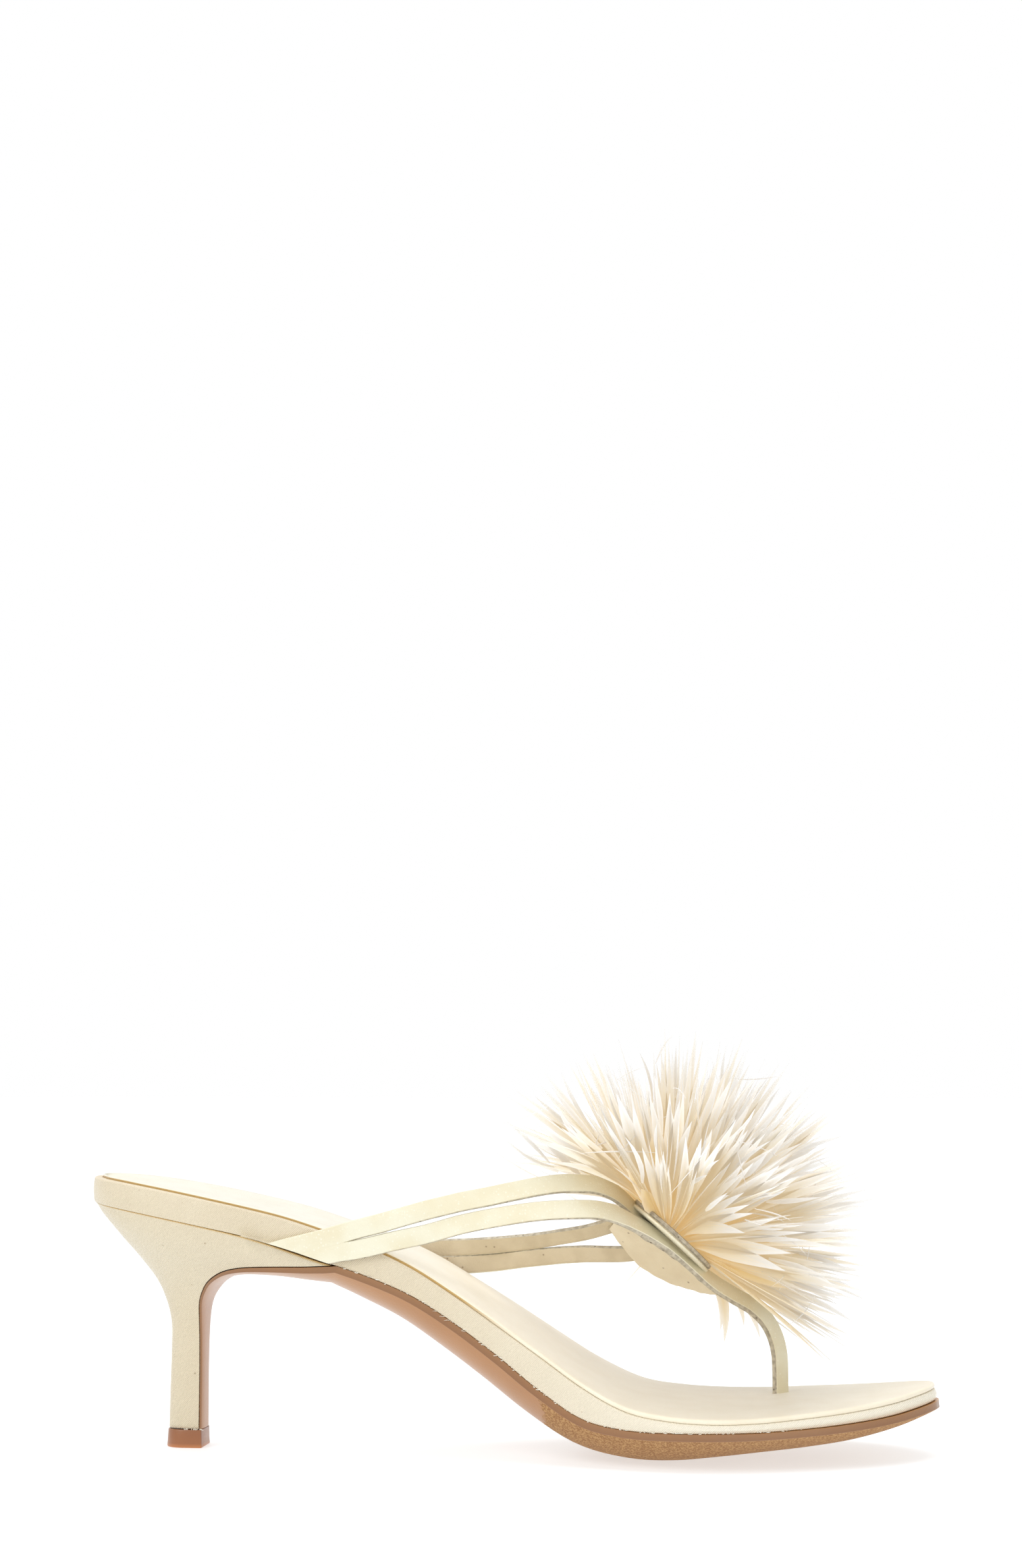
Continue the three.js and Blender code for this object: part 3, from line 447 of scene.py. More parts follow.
def cover(name, light, deep, pore_and_glint, grain, rough, coat=0.15, cells=2200.0, rib=0.0, pore_and_glint_size=0.1,
          seam_shade_and_edge=None, sheen=0.0, clouds=60.0, pore_and_glint_scale=300.0, metal=0.0, fore=None):
    """Leather, satin or rubber: clouds of two colours, specks, a grain, a colour where it is marked,
    and a colour that it fades to towards the toe. The specks are dark pores, and on the pearl
    leather painted glints. The marked colour is painted shade along the satin's seams, and on
    the lift its cut face's own colour."""
    material, tree, shader = new_material(name, {
        "Coat Weight": coat, "Coat Roughness": 0.3, "Sheen Weight": sheen, "Metallic": metal,
    })
    place, along_x = object_place(tree)
    mottle = use_group(tree, mottle_group, {
        "Vector": place, "Pore and glint size": pore_and_glint_size, "Cloud scale": clouds, "Pore and glint scale": pore_and_glint_scale,
    })
    colour = mix(tree, mottle["Cloud"], light, deep)
    if fore is not None:
        colour = mix(tree, span(tree, along_x, FORE_START, FORE_END), colour, fore)
    if seam_shade_and_edge is not None:
        colour = mix(tree, attribute(tree, "seam_shade_and_edge"), colour, seam_shade_and_edge)
    colour = mix(tree, mottle["Pores and glints"], colour, pore_and_glint)
    tree.links.new(colour, shader["Base Color"])
    height = use_group(tree, grain_group, {"Vector": place, "Cells": cells, "Rib": rib})["Height"]
    tree.links.new(span(tree, height, 0.4, 1.6, rough + 0.06, rough - 0.06), shader["Roughness"])
    add_relief(tree, shader, height, grain)
    return material


# The satin's marked colour is painted shade: a golden shadow line in the seams under the band.
cream_satin = cover(
    "cream satin", (0.75, 0.65, 0.475), (0.70, 0.595, 0.42), (0.35, 0.24, 0.13),
    grain=0.8, rough=0.4, coat=0.1, rib=1.2, seam_shade_and_edge=(0.68, 0.45, 0.15), sheen=0.1, clouds=35.0,
    fore=(0.88, 0.81, 0.66),
)


def footbed_grid():
    """The wrapped board: a round at each edge of the band and a step down inside the rim.

    Each wall is a quarter circle in from the seam, a parabola's bulge up the band, a quarter circle
    over its top edge and a step down to the bed. The second result marks the seam, where painted
    shade lays a golden line, and that step, which takes the same golden colour.
    """
    along = stations(BED_STATIONS)
    rim = read(profile, along, "rim")[:, None]
    margin = np.maximum(rim * SOCK_MARGIN + (1 - rim) * EDGE_ROLL, EDGE_ROLL)
    sine, cosine = quarter(7)
    rise = np.linspace(0, 1, 9)[1:-1]
    bulge = -BAND_BULGE * 4 * rise * (1 - rise)
    ones = np.ones_like(rim)
    inset = np.concatenate([
        ones * LOW_ROLL * (1 - sine), ones * bulge, ones * EDGE_ROLL * (1 - cosine),
        margin, margin + RIM_STEP,
    ], axis=1)
    low = np.concatenate([LOW_ROLL * (1 - cosine), np.zeros(len(rise) + len(sine) + 2)])
    high = np.concatenate([np.zeros(len(sine) + len(rise)), -EDGE_ROLL * (1 - sine), [0, 0]])
    blend = np.concatenate([np.zeros(len(sine)), rise, np.ones(len(sine) + 2)])
    sunk = np.zeros(len(blend))
    sunk[-1] = 1

    def height(x):
        rim_here = read(profile, along_of(x), "rim") * RIM_HEIGHT
        top = bed_height(x) + rim_here * (1 - sunk)
        wall = seam_height(x) + LOW_ROLL + (top - seam_height(x) - EDGE_ROLL - LOW_ROLL) * blend
        return np.where(blend <= 0, seam_height(x) + low, np.where(blend >= 1, top + high, wall))

    def top(x, swell):
        return bed_height(x) + crown_at(x) * swell

    def base(x, _):
        return seam_height(x)

    grid = slab_grid(along, inset, height, top, base)
    wall = inset.shape[1]
    seam = np.zeros(wall)
    seam[:3] = (1, 0.9, 0.25)
    foot = np.zeros(wall)
    foot[-2:] = (0.5, 1)
    seat = np.clip((0.5 - along) / SEAT_FADE, 0, 1)[:, None]
    side = seam * (0.45 + 0.55 * seat) + foot * seat
    return grid, slab_marks(side)


grid, seam_shade_and_edge = footbed_grid()
footbed = add_skin("footbed_wrap", grid, [cream_satin], capped=False, marks={"seam_shade_and_edge": seam_shade_and_edge})
attach(footbed, "footbed")

# Upper: two straps on each side, cut from thin leather with a pearl finish, lined with beige kid.
# The lining's raw grey edge stands a little past the face. The straps are folded in under the
# footbed's sides, and they meet on a leaf of beige leather from which the thong runs down.
STRAP_WIDTH = 5.4
STRAP_THICKNESS = 1.6
STRAP_RISE = 50
PATCH_THICKNESS = 1.8
THONG_DEPTH = 2
STRAP_FOLD = 0.45  # radius of the straps' folded edge
FOLD_TUCK = 0.08
FACE_CROWN = 0.16
RAW_LIP = 0.18
THONG_LIP = 0.7
THONG_ROW = 14  # row of its table where the near lower strap turns into the thong
LEAF_SEAT = 1.9  # how far the far straps are lifted to lie on the leaf
LEAF_ROWS = 61
LEAF_ACROSS = 25

near_upper = table(
    "along out hug over lean",
    (0.205, 0.69, 1, -0.3, 0), (0.277, 0.68, 1, -0.111, 0), (0.308, 0.68, 1, -0.024, 0),
    (0.338, 0.68, 1, 0.066, 1), (0.368, 0.68, 0.9, 0.159, 3), (0.398, 0.66, 0.3, 0.267, 6),
    (0.428, 0.63, 0, 0.387, 8), (0.457, 0.58, 0, 0.506, 10), (0.487, 0.52, 0, 0.625, 12),
    (0.517, 0.45, 0, 0.75, 15), (0.546, 0.37, 0, 0.87, 18), (0.575, 0.28, 0, 0.977, 22),
    (0.605, 0.18, 0, 1.058, 32), (0.628, 0.08, 0, 1.07, 48), (0.648, -0.02, 0, 1.02, 62),
    (0.668, -0.1, 0, 0.92, 75),
)
near_lower = table(
    "along out hug over lean",
    (0.238, 0.69, 1, -0.31, 0), (0.308, 0.68, 1, -0.118, 0), (0.338, 0.68, 1, -0.046, 0),
    (0.368, 0.68, 1, 0.043, 1), (0.413, 0.65, 0.4, 0.196, 4), (0.458, 0.595, 0, 0.386, 6),
    (0.502, 0.525, 0, 0.563, 8), (0.546, 0.43, 0, 0.734, 11), (0.591, 0.33, 0, 0.886, 18),
    (0.62, 0.26, 0, 0.952, 30), (0.643, 0.195, 0, 0.958, 48), (0.665, 0.14, 0, 0.925, 64),
    (0.688, 0.085, 0, 0.862, 76), (0.703, 0.03, 0, 0.81, 76), (0.722, -0.05, 0, 0.74, 66),
    (0.744, -0.13, 0, 0.655, 52), (0.766, -0.2, 0, 0.585, 46), (0.787, -0.26, 0, 0.52, 45),
    (0.803, -0.31, 0, 0.44, 45), (0.813, -0.35, 0, 0.345, 45), (0.818, -0.375, 0, 0.24, 45),
    (0.819, -0.385, 0, 0.12, 45), (0.819, -0.385, 0, -THONG_DEPTH / STRAP_RISE, 45),
)
far_upper = table(
    "along out hug over lean",
    (0.25, 0.64, 1, -0.28, 0), (0.308, 0.63, 1, -0.165, 0), (0.36, 0.62, 1, -0.072, 2),
    (0.39, 0.62, 1, 0, 6), (0.416, 0.62, 0.5, 0.07, 14), (0.465, 0.6, 0, 0.232, 26),
    (0.513, 0.545, 0, 0.408, 32), (0.563, 0.47, 0, 0.608, 38), (0.612, 0.38, 0, 0.79, 42),
    (0.645, 0.3, 0, 0.88, 44),
)
far_lower = table(
    "along out hug over lean",
    (0.29, 0.63, 1, -0.28, 0), (0.34, 0.62, 1, -0.18, 0), (0.39, 0.62, 1, -0.09, 0),
    (0.416, 0.63, 1, -0.03, 2), (0.465, 0.65, 0.3, 0.127, 8), (0.513, 0.6, 0, 0.31, 14),
    (0.562, 0.55, 0, 0.495, 20), (0.595, 0.505, 0, 0.605, 26), (0.643, 0.435, 0, 0.71, 36),
    (0.672, 0.36, 0, 0.735, 42),
)
# Edges and ridge of the leaf, from its rear edge to its tip
leaf_near = table(
    "along out over", (0.63, 0.17, 0.92), (0.65, 0.15, 0.91), (0.676, 0.1, 0.85),
    (0.705, 0.01, 0.77), (0.731, -0.1, 0.66), (0.75, -0.17, 0.6),
)
leaf_ridge = table(
    "along out over", (0.637, -0.04, 0.98), (0.658, -0.07, 0.95), (0.684, -0.11, 0.88),
    (0.711, -0.15, 0.79), (0.735, -0.2, 0.68), (0.752, -0.205, 0.605),
)
leaf_far = table(
    "along out over", (0.618, -0.34, 0.83), (0.636, -0.43, 0.74), (0.663, -0.48, 0.66),
    (0.7, -0.45, 0.61), (0.731, -0.35, 0.59), (0.753, -0.24, 0.58),
)

# Its light specks are painted glints: the sparkle of the pearl finish.
pearl_leather = cover(
    "pearl strap leather", (0.81, 0.77, 0.60), (0.77, 0.70, 0.50), (0.88, 0.84, 0.7),
    grain=0.4, rough=0.36, coat=0.25, cells=2600.0, pore_and_glint_size=0.5, sheen=0.15, clouds=90.0,
    pore_and_glint_scale=1500.0, metal=0.15,
)
lining_leather = cover(
    "beige lining", (0.72, 0.62, 0.45), (0.64, 0.54, 0.38), (0.2, 0.12, 0.06),
    grain=0.6, rough=0.6, coat=0.0, cells=1800.0, rib=0.2, pore_and_glint_size=0.16, clouds=140.0,
    pore_and_glint_scale=420.0,
)
raw_edge = cover(
    "raw edge", (0.64, 0.58, 0.46), (0.40, 0.35, 0.27), (0.08, 0.06, 0.04),
    grain=1.0, rough=0.8, coat=0.0, cells=3500.0, pore_and_glint_size=0.4, clouds=700.0, pore_and_glint_scale=900.0,
)


def smooth(rows, steps, *columns):
    """Even steps along the cubic curves through a table's columns, from its first row to its end."""
    keys = np.arange(len(rows["along"]))
    at = np.linspace(0, keys[-1], steps)
    return [read({"along": keys, "value": rows[column]}, at, "value") for column in columns]


def upper_point(along, out, over, side, hug=0.0):
    """Point of the upper: out as a share of the ball's half width, over as one of the rise.

    Where it hugs, it lies a gap off the footbed's side instead, whatever out says.
    """
    x = place_of(along)
    beside = half_width(along, side) + GAP + STRAP_THICKNESS / 2
    y = hug * beside + (1 - hug) * out * BALL_WIDTH / 2
    return np.stack([x, side * y, tread_height(x) + over * STRAP_RISE], axis=-1)


def unit(vectors):
    """Directions of length one."""
    return vectors / np.maximum(np.linalg.norm(vectors, axis=-1, keepdims=True), 1e-9)


def strap_frames(rows, side, steps):
    """Middle line of a strap along the curves through its rows, with two directions at each step.

    One runs down the strap's face at right angles to the line, the other out of the face, which
    leans back from upright by the lean's angle.
    """
    along, out, hug, over, lean = smooth(rows, steps, "along", "out", "hug", "over", "lean")
    middle = upper_point(along, out, over, side, np.clip(hug, 0, 1))
    run = unit(np.gradient(middle, axis=0))
    outward = np.broadcast_to([0.0, side, 0.0], run.shape)
    outward = unit(outward - run * (outward * run).sum(axis=-1, keepdims=True))
    upward = np.cross(outward, run) * -side
    lean = np.radians(lean)[:, None]
    face = outward * np.cos(lean) + upward * np.sin(lean)
    down = unit(np.cross(run, face)) * -side
    return middle, down, face


def strap_grid(rows, side, steps, lip, raw_low=True):
    """Strap section: a crowned face, a folded edge, the lining and its raw lip past the face.

    In the section u runs down the face and v out of it. The face's v is a parabola over its width,
    the fold is half an ellipse, and the raw edge runs through six corners from face to back.
    """
    middle, down, face = strap_frames(rows, side, steps)
    lip = lip[:, None]
    ones = np.ones_like(lip)
    half = STRAP_WIDTH / 2
    thick = STRAP_THICKNESS / 2
    share = np.linspace(0, 1, 9)
    start = -half + STRAP_FOLD
    end = half - lip - 0.15
    face_u = start + (end - start) * share
    face_v = thick - FACE_CROWN * (2 * share - 1) ** 2
    raw_u = np.concatenate([
        end + 0.13, end + 0.16, ones * (half - np.array([0.12, 0, 0.03, 0.25])),
    ], axis=1)
    raw_v = np.concatenate([thick - np.array([0.34, 0.52, 0.62, 0.85]), [-thick + 0.25, -thick]])
    back_u = half - 0.25 - (2 * half - 0.7) * np.linspace(0, 1, 7)[1:]
    back_v = np.full(6, -thick)
    turn = np.linspace(-np.pi / 2, np.pi / 2, 7)[1:-1]
    fold_u = start - STRAP_FOLD * np.cos(turn)
    fold_v = (thick - FOLD_TUCK) * np.sin(turn)
    u = np.concatenate([face_u, raw_u, ones * back_u, ones * fold_u], axis=1)
    v = np.concatenate([face_v, raw_v, back_v, fold_v])
    u = u if raw_low else -u
    panels = [0] * 9 + [1] * 5 + [2] * 6 + [0] * 6
    grid = middle[:, None] + down[:, None] * u[..., None] + face[:, None] * v[:, None]
    return grid, panels


def cut_above(grid, clearance):
    """Holds a strap's end at the sole's seam, where it is folded in under the footbed."""
    lowest = seam_height(grid[..., 0]) + clearance
    grid[..., 2] = np.maximum(grid[..., 2], lowest)
    return grid


def on_leaf(grid, side):
    """How far a far strap's end is lifted, so that it is glued on the outer face of the leaf."""
    rise = np.linspace(0, 1, len(grid))
    lift = LEAF_SEAT * np.clip((rise - 0.72) / 0.2, 0, 1) ** 2
    return lift[:, None, None] * np.array([0.0, 0.35 * side, 0.94])


strap_materials = [pearl_leather, raw_edge, lining_leather]
for name, rows, side, raw_low in (
    ("strap_near_upper", near_upper, -1, True),
    ("strap_near_lower", near_lower, -1, True),
    ("strap_far_upper", far_upper, 1, False),
    ("strap_far_lower", far_lower, 1, False),
):
    steps = 12 * (len(rows["along"]) - 1) + 1
    lip = np.full(steps, RAW_LIP)
    if rows is near_lower:
        at = np.linspace(0, len(rows["along"]) - 1, steps)
        lip = RAW_LIP + (THONG_LIP - RAW_LIP) * np.clip((at - THONG_ROW) / 3, 0, 1)
    grid, panels = strap_grid(rows, side, steps, lip, raw_low)
    if side > 0:
        grid = grid + on_leaf(grid, side)
    strap = add_skin(name, cut_above(grid, 0.1), strap_materials, panels)
    attach(strap, "upper")


def leaf_grid(steps, across):
    """The leaf: each row arches from the near edge over the ridge to the far edge, with a wavy rim.

    A row is a quadratic curve through its ridge. The rims wave by two sines, out of the edges.
    """
    at = np.linspace(0, 5, steps)
    near, ridge, far = (
        upper_point(*smooth(edge, steps, "along", "out", "over"), -1)
        for edge in (leaf_near, leaf_ridge, leaf_far)
    )
    share = np.linspace(0, 1, across)[None, :, None]
    pull = 2 * ridge - (near + far) / 2
    sheet = (1 - share) ** 2 * near[:, None] + 2 * share * (1 - share) * pull[:, None]
    sheet = sheet + share ** 2 * far[:, None]
    run = np.gradient(sheet, axis=0)
    width = np.gradient(sheet, axis=1)
    normal = unit(np.cross(run, width))
    wave = np.sin(at * 5.2) * 0.5 + np.sin(at * 11.7 + 1) * 0.3
    rim = np.abs(2 * share - 1) ** 12
    sheet = sheet + unit(width) * (wave[:, None, None] * rim * 0.35 * np.sign(share - 0.5))
    half = PATCH_THICKNESS / 2
    thin = 1 - 0.25 * rim
    outside = sheet + normal * half * thin
    inside = sheet - normal * half * thin
    lip = unit(width) * 0.3
    far_rim, near_rim = sheet[:, -1:] + lip[:, -1:], sheet[:, :1] - lip[:, :1]
    return np.concatenate([outside, far_rim, inside[:, ::-1], near_rim], axis=1)


leaf_panels = [0] * (LEAF_ACROSS - 1) + [1, 1] + [2] * (LEAF_ACROSS - 1) + [1, 1]
# A lighter copy of the beige lining: painted light on the leaf's underside, which lies in shade.
leaf_lining_painted_lighter = cover(
    "leaf lining painted lighter", (0.88, 0.78, 0.59), (0.82, 0.71, 0.52), (0.25, 0.15, 0.08),
    grain=0.8, rough=0.6, coat=0.0, cells=1500.0, pore_and_glint_size=0.2, clouds=140.0, pore_and_glint_scale=420.0,
    sheen=0.2,
)
leaf_materials = [pearl_leather, raw_edge, leaf_lining_painted_lighter]
grid = leaf_grid(LEAF_ROWS, LEAF_ACROSS)
leaf = add_skin("vamp_leaf", grid, leaf_materials, leaf_panels)
attach(leaf, "upper")

# Heel: a moulded block that narrows to a slim stem, with a wing forward under the seat. It is
# wrapped in the footbed's satin, whose cut edge frays a little against the top lift.
LIFT_HEIGHT = 5
HEEL_HEIGHT = SEAT_HEIGHT - LIFT_HEIGHT
BREAST_AHEAD = 4  # front of the stem, ahead of the origin
WING_LENGTH = 41.5  # from the breast to the wing's tip
WING_HEIGHT = 53
SEAT_ROUND = 28.8  # length of the seat's rounded back
WRAP_GAP = 0.05
TOP_TUCK = 0.3  # how far the cover is turned in at the seam
FOOT_TUCK = 0.35  # and at the lift
HEEL_ROWS = 110

# Back of the heel over its height, as a share of the seat's overhang
heel_back = table(
    "along back",
    (0, 0.196), (0.15, 0.19), (0.38, 0.179), (0.47, 0.186), (0.556, 0.236), (0.644, 0.336),
    (0.73, 0.507), (0.819, 0.718), (0.906, 0.903), (0.965, 0.97), (1, 0.99),
)
# Half width as a share of the footbed's, down from the seam
heel_taper = table(
    "along share",
    (0, 0.985), (0.08, 0.9), (0.14, 0.78), (0.2, 0.63), (0.27, 0.48), (0.33, 0.37),
    (0.39, 0.29), (0.45, 0.237), (0.54, 0.2), (0.7, 0.184), (1, 0.2),
)
# Breast and underside of the wing, and the outsole's thickness along them
breast = table(
    "along ahead up thick strip",
    (0, 0, 0.1, 0.087, 0.3), (0.2, 0, 0.36, 0.087, 0.3), (0.4, 0.001, 0.62, 0.09, 0.3),
    (0.47, 0.004, 0.725, 0.1, 0.32), (0.52, 0.014, 0.782, 0.11, 0.34),
    (0.57, 0.04, 0.833, 0.125, 0.38), (0.62, 0.09, 0.89, 0.15, 0.44),
    (0.68, 0.175, 0.938, 0.18, 0.5), (0.74, 0.265, 0.965, 0.21, 0.56),
    (0.8, 0.39, 0.981, 0.25, 0.62), (0.87, 0.6, 0.989, 0.33, 0.75),
    (0.94, 0.82, 0.993, 0.46, 0.9), (1, 1, 1, 0.58, 1),
)
# Its marked colour is painted shade: the golden shadow line in the seam under the footbed.
heel_satin = cover(
    "cream heel satin", (0.76, 0.66, 0.48), (0.72, 0.615, 0.435), (0.35, 0.24, 0.13),
    grain=0.9, rough=0.45, coat=0.1, rib=1.3, pore_and_glint_size=0.12, seam_shade_and_edge=(0.70, 0.47, 0.17), sheen=0.1,
    clouds=25.0,
)


def heel_half(x, z, side):
    """Half width of the block: the footbed's own, narrowed by the depth below the seam."""
    depth = (seam_height(x) - z) / HEEL_HEIGHT
    share = read(heel_taper, np.clip(depth, 0, 1), "share")
    return share * half_width(np.maximum(along_of(x), SEAT_ROUND / SOLE_LENGTH), side)


def breast_point(at, off):
    """Place and direction on the curve up the breast and along the wing, moved off to its front."""
    def place(share):
        share = np.clip(share, 0, 1)
        x = BREAST_AHEAD + read(breast, share, "ahead") * WING_LENGTH
        return np.stack([x, read(breast, share, "up") * WING_HEIGHT], axis=-1)

    run = unit(place(at + 0.01) - place(at - 0.01))
    point = place(at)
    return point[:, 0] + run[:, 1] * off, point[:, 1] - run[:, 0] * off, run


def heel_grid(rows):
    """Rows from the lift to the seam: from the back curve round the sides to the breast and wing.

    Seen from above, a row has the seat's outline at the back, drawn small, and runs straight on to
    the front. Its height goes evenly from the back's to the front's, and the topmost rows bend up
    to the seam. The second result marks the rows beside the seam, where painted shade lays a
    golden line.
    """
    lowest = LIFT_HEIGHT + GAP
    t = 1 - (1 - np.linspace(0, 1, rows)) ** 1.3
    z_back = lowest + (seam_height(-SEAT_OVERHANG) - 2 * GAP - lowest) * t
    back = -read(heel_back, (z_back - LIFT_HEIGHT) / HEEL_HEIGHT, "back") * SEAT_OVERHANG
    front, z_front, _ = breast_point(t, 0.0)
    z_front = np.maximum(z_front, lowest)
    widest = half_width(SEAT_ROUND / SOLE_LENGTH, -1)
    rounding = SEAT_ROUND * heel_half(back + 1, z_back, -1) / widest
    rounding = np.minimum(rounding, (front - back) * 0.8)
    round_share = 1 - np.cos(np.linspace(0, np.pi / 2, 20))
    straight = np.linspace(0, 1, 15)[1:]
    turn = (back + rounding)[:, None]
    x = np.concatenate([
        back[:, None] + round_share * rounding[:, None], turn + straight * (front[:, None] - turn),
    ], axis=1)
    across = (x - back[:, None]) / (front - back)[:, None]
    z = z_back[:, None] + (z_front - z_back)[:, None] * across
    ramp = (t ** 8)[:, None] * (1 - np.clip(across, 0, 1) ** 6)
    z = z + ramp * (seam_height(x) - WRAP_GAP - z)
    tuck = TOP_TUCK * np.clip((t - 0.972) / 0.028, 0, 1) ** 2 + FOOT_TUCK * (t < 0.004)
    sides = []
    for side in (-1, 1):
        bulge = half_width(round_share * SEAT_ROUND / SOLE_LENGTH, side)
        bulge = bulge / half_width(SEAT_ROUND / SOLE_LENGTH, side)
        bulge = np.append(bulge, np.ones(len(straight)))
        y = bulge * np.maximum(heel_half(x, z, side) - tuck[:, None], 0)
        sides.append(np.stack([x, side * y, z], axis=-1))
    seam_shade_and_edge = np.clip((t - 0.982) / 0.014, 0, 1)[:, None] * np.ones(2 * x.shape[1])
    return np.concatenate([sides[0], sides[1][:, ::-1]], axis=1), seam_shade_and_edge


grid, seam_shade_and_edge = heel_grid(HEEL_ROWS)
heel = add_skin("heel_wrap", grid, [heel_satin], marks={"seam_shade_and_edge": seam_shade_and_edge})
attach(heel, "heel")

# Outsole: one piece of brown leather from the toe along the waist and down the breast of the
# heel. Its upright edge is stained darker than its smooth, rounded underside, and the forefoot's
# tread is buffed to a coarse golden nap.
EDGE_STRIP = 1.8
WELT = 0.8  # how far it stands out past the footbed at the toe
BELLY_POWER = 3.2  # how full the underside is
SEAM_GAP = 0.08
BREAST_ROWS = 90
SOLE_ACROSS = 32
# Where the buffed tread begins, and how far its ragged edge strays
TREAD_START = 0.104
TREAD_BLUR = 0.006

sole_leather, tree, shader = new_material("brown sole leather", {"Coat Roughness": 0.25})
place, along_x = object_place(tree)
belly = attribute(tree, "belly")
painted_shade_lines = attribute(tree, "painted_shade_lines")
mottle = use_group(tree, mottle_group, {"Vector": place, "Cloud scale": 45.0, "Pore and glint size": 0.1})
edge = mix(tree, mottle["Cloud"], (0.55, 0.275, 0.09), (0.49, 0.235, 0.075))
smooth_under = mix(tree, mottle["Cloud"], (0.47, 0.23, 0.095), (0.425, 0.203, 0.08))
nap = noise(tree, place, 1700.0, 3.0, 0.7)
buffed = mix(tree, span(tree, nap, 0.42, 0.6), (0.30, 0.135, 0.045), (0.52, 0.30, 0.12))
wavy = calculate(tree, "MULTIPLY_ADD", noise(tree, place, 350.0, 4.0, 0.7), TREAD_BLUR, along_x)
tread = span(tree, wavy, TREAD_START + 0.5 * TREAD_BLUR, TREAD_START + 0.7 * TREAD_BLUR)
tread = calculate(tree, "MULTIPLY", tread, span(tree, belly, 0.05, 0.15))
under = mix(tree, tread, smooth_under, buffed)
brown = mix(tree, span(tree, belly, 0.0, 0.02), edge, under)
# Painted shade: dark lines at the seam and along the edge strip's lower edge, where a gap and a
# groove would be shaded.
brown = mix(tree, painted_shade_lines, brown, (0.16, 0.07, 0.035))
tree.links.new(brown, shader["Base Color"])
gloss = calculate(tree, "MULTIPLY_ADD", tread, 0.45, 0.32)
tree.links.new(gloss, shader["Roughness"])
tree.links.new(calculate(tree, "MULTIPLY_ADD", tread, -0.14, 0.14), shader["Coat Weight"])
fine = use_group(tree, grain_group, {"Vector": place, "Cells": 1500.0})["Height"]
rough_nap = calculate(tree, "MULTIPLY", nap, tread)
add_relief(tree, shader, calculate(tree, "MULTIPLY_ADD", rough_nap, 5.0, fine), 0.35)


def sole_rows(x, z, run, halves, strip, belly, across):
    """Closed loops: over the flat top, down the edge strip and along the rounded underside.

    The depth under the strip is belly (1 - s ^ BELLY_POWER) at a share s of the half width.
    """
    down = np.stack([run[:, 1], -run[:, 0]], axis=-1)
    share = np.sin(np.linspace(-np.pi / 2, np.pi / 2, across))
    outer, inner = halves
    middle = ((inner - outer) / 2)[:, None]
    half = ((inner + outer) / 2)[:, None]
    top_y = middle - half * share
    low_y = middle + half * share
    low_depth = strip[:, None] + belly[:, None] * (1 - np.abs(share) ** BELLY_POWER)

    def loop(y, depth):
        lx = x[:, None] + down[:, :1] * depth
        lz = np.maximum(z[:, None] + down[:, 1:] * depth, 0)
        return np.stack([lx + 0 * y, y, lz + 0 * y], axis=-1)

    return np.concatenate([loop(top_y, 0 * top_y), loop(low_y, low_depth)], axis=1)


def outsole_grid(across):
    """Rows up the breast and along the wing, then along the footbed's seam to the toe."""
    at = np.linspace(0, 0.985, BREAST_ROWS)
    x, z, run = breast_point(at, GAP)
    z[0] = LIFT_HEIGHT + GAP
    total = read(breast, at, "thick") * OUTSOLE_DEPTH
    strip = np.minimum(read(breast, at, "strip") * EDGE_STRIP, total * 0.7)
    halves = (heel_half(x, z, -1), heel_half(x, z, 1))
    first = sole_rows(x, z, run, halves, strip, total - strip, across)
    along = stations(BED_STATIONS)
    along = along[place_of(along) > BREAST_AHEAD + WING_LENGTH + GAP]
    x = place_of(along)
    slope = seam_height(x + 1) - seam_height(x - 1)
    run = unit(np.stack([np.full_like(slope, 2.0), slope], axis=-1))
    stands = WELT * np.maximum(0, (along - 0.5) * 2)
    reach = stands * (1 - along ** 40)
    halves = (half_width(along, -1) + reach, half_width(along, 1) + reach)
    belly = read(profile, along, "belly") * OUTSOLE_DEPTH
    strip = np.full_like(x, EDGE_STRIP)
    seam = seam_height(x) - SEAM_GAP
    second = sole_rows(x + stands, seam, run, halves, strip, belly, across)
    return np.concatenate([first, second])


grid = outsole_grid(SOLE_ACROSS)
rows = np.ones((len(grid), 1))
under = np.append(np.zeros(SOLE_ACROSS), np.sin(np.linspace(0, np.pi, SOLE_ACROSS)))
# Marks for the painted shade lines: the top's two edges at the seam, and the underside's two ends
# below the strip.
line = np.zeros(2 * SOLE_ACROSS)
line[[SOLE_ACROSS, -1]] = 0.75
line[[0, SOLE_ACROSS - 1]] = 0.6
marks = {"belly": rows * under, "painted_shade_lines": rows * line}
outsole = add_skin("outsole_leather", grid, [sole_leather], marks=marks)
attach(outsole, "outsole")

# Top lift: the moulded rubber tip that the heel stands on, round behind and flat in front,
# slightly flared, its cut face showing a clearer orange rim at the floor.
LIFT_WIDTH = 10.4
LIFT_BACK = 5.7
LIFT_FRONT = 4.9
LIFT_FLARE = 0.3
LIFT_CORNER = 0.35  # radius of its front corners
CUT_HEIGHT = 1.4  # how far up its cut face shows

lift_rubber = cover(
    "moulded brown lift", (0.30, 0.11, 0.034), (0.26, 0.09, 0.027), (0.2, 0.08, 0.03),
    grain=0.25, rough=0.35, coat=0.4, cells=1200.0, pore_and_glint_size=0.02, seam_shade_and_edge=(0.55, 0.2, 0.06),
)


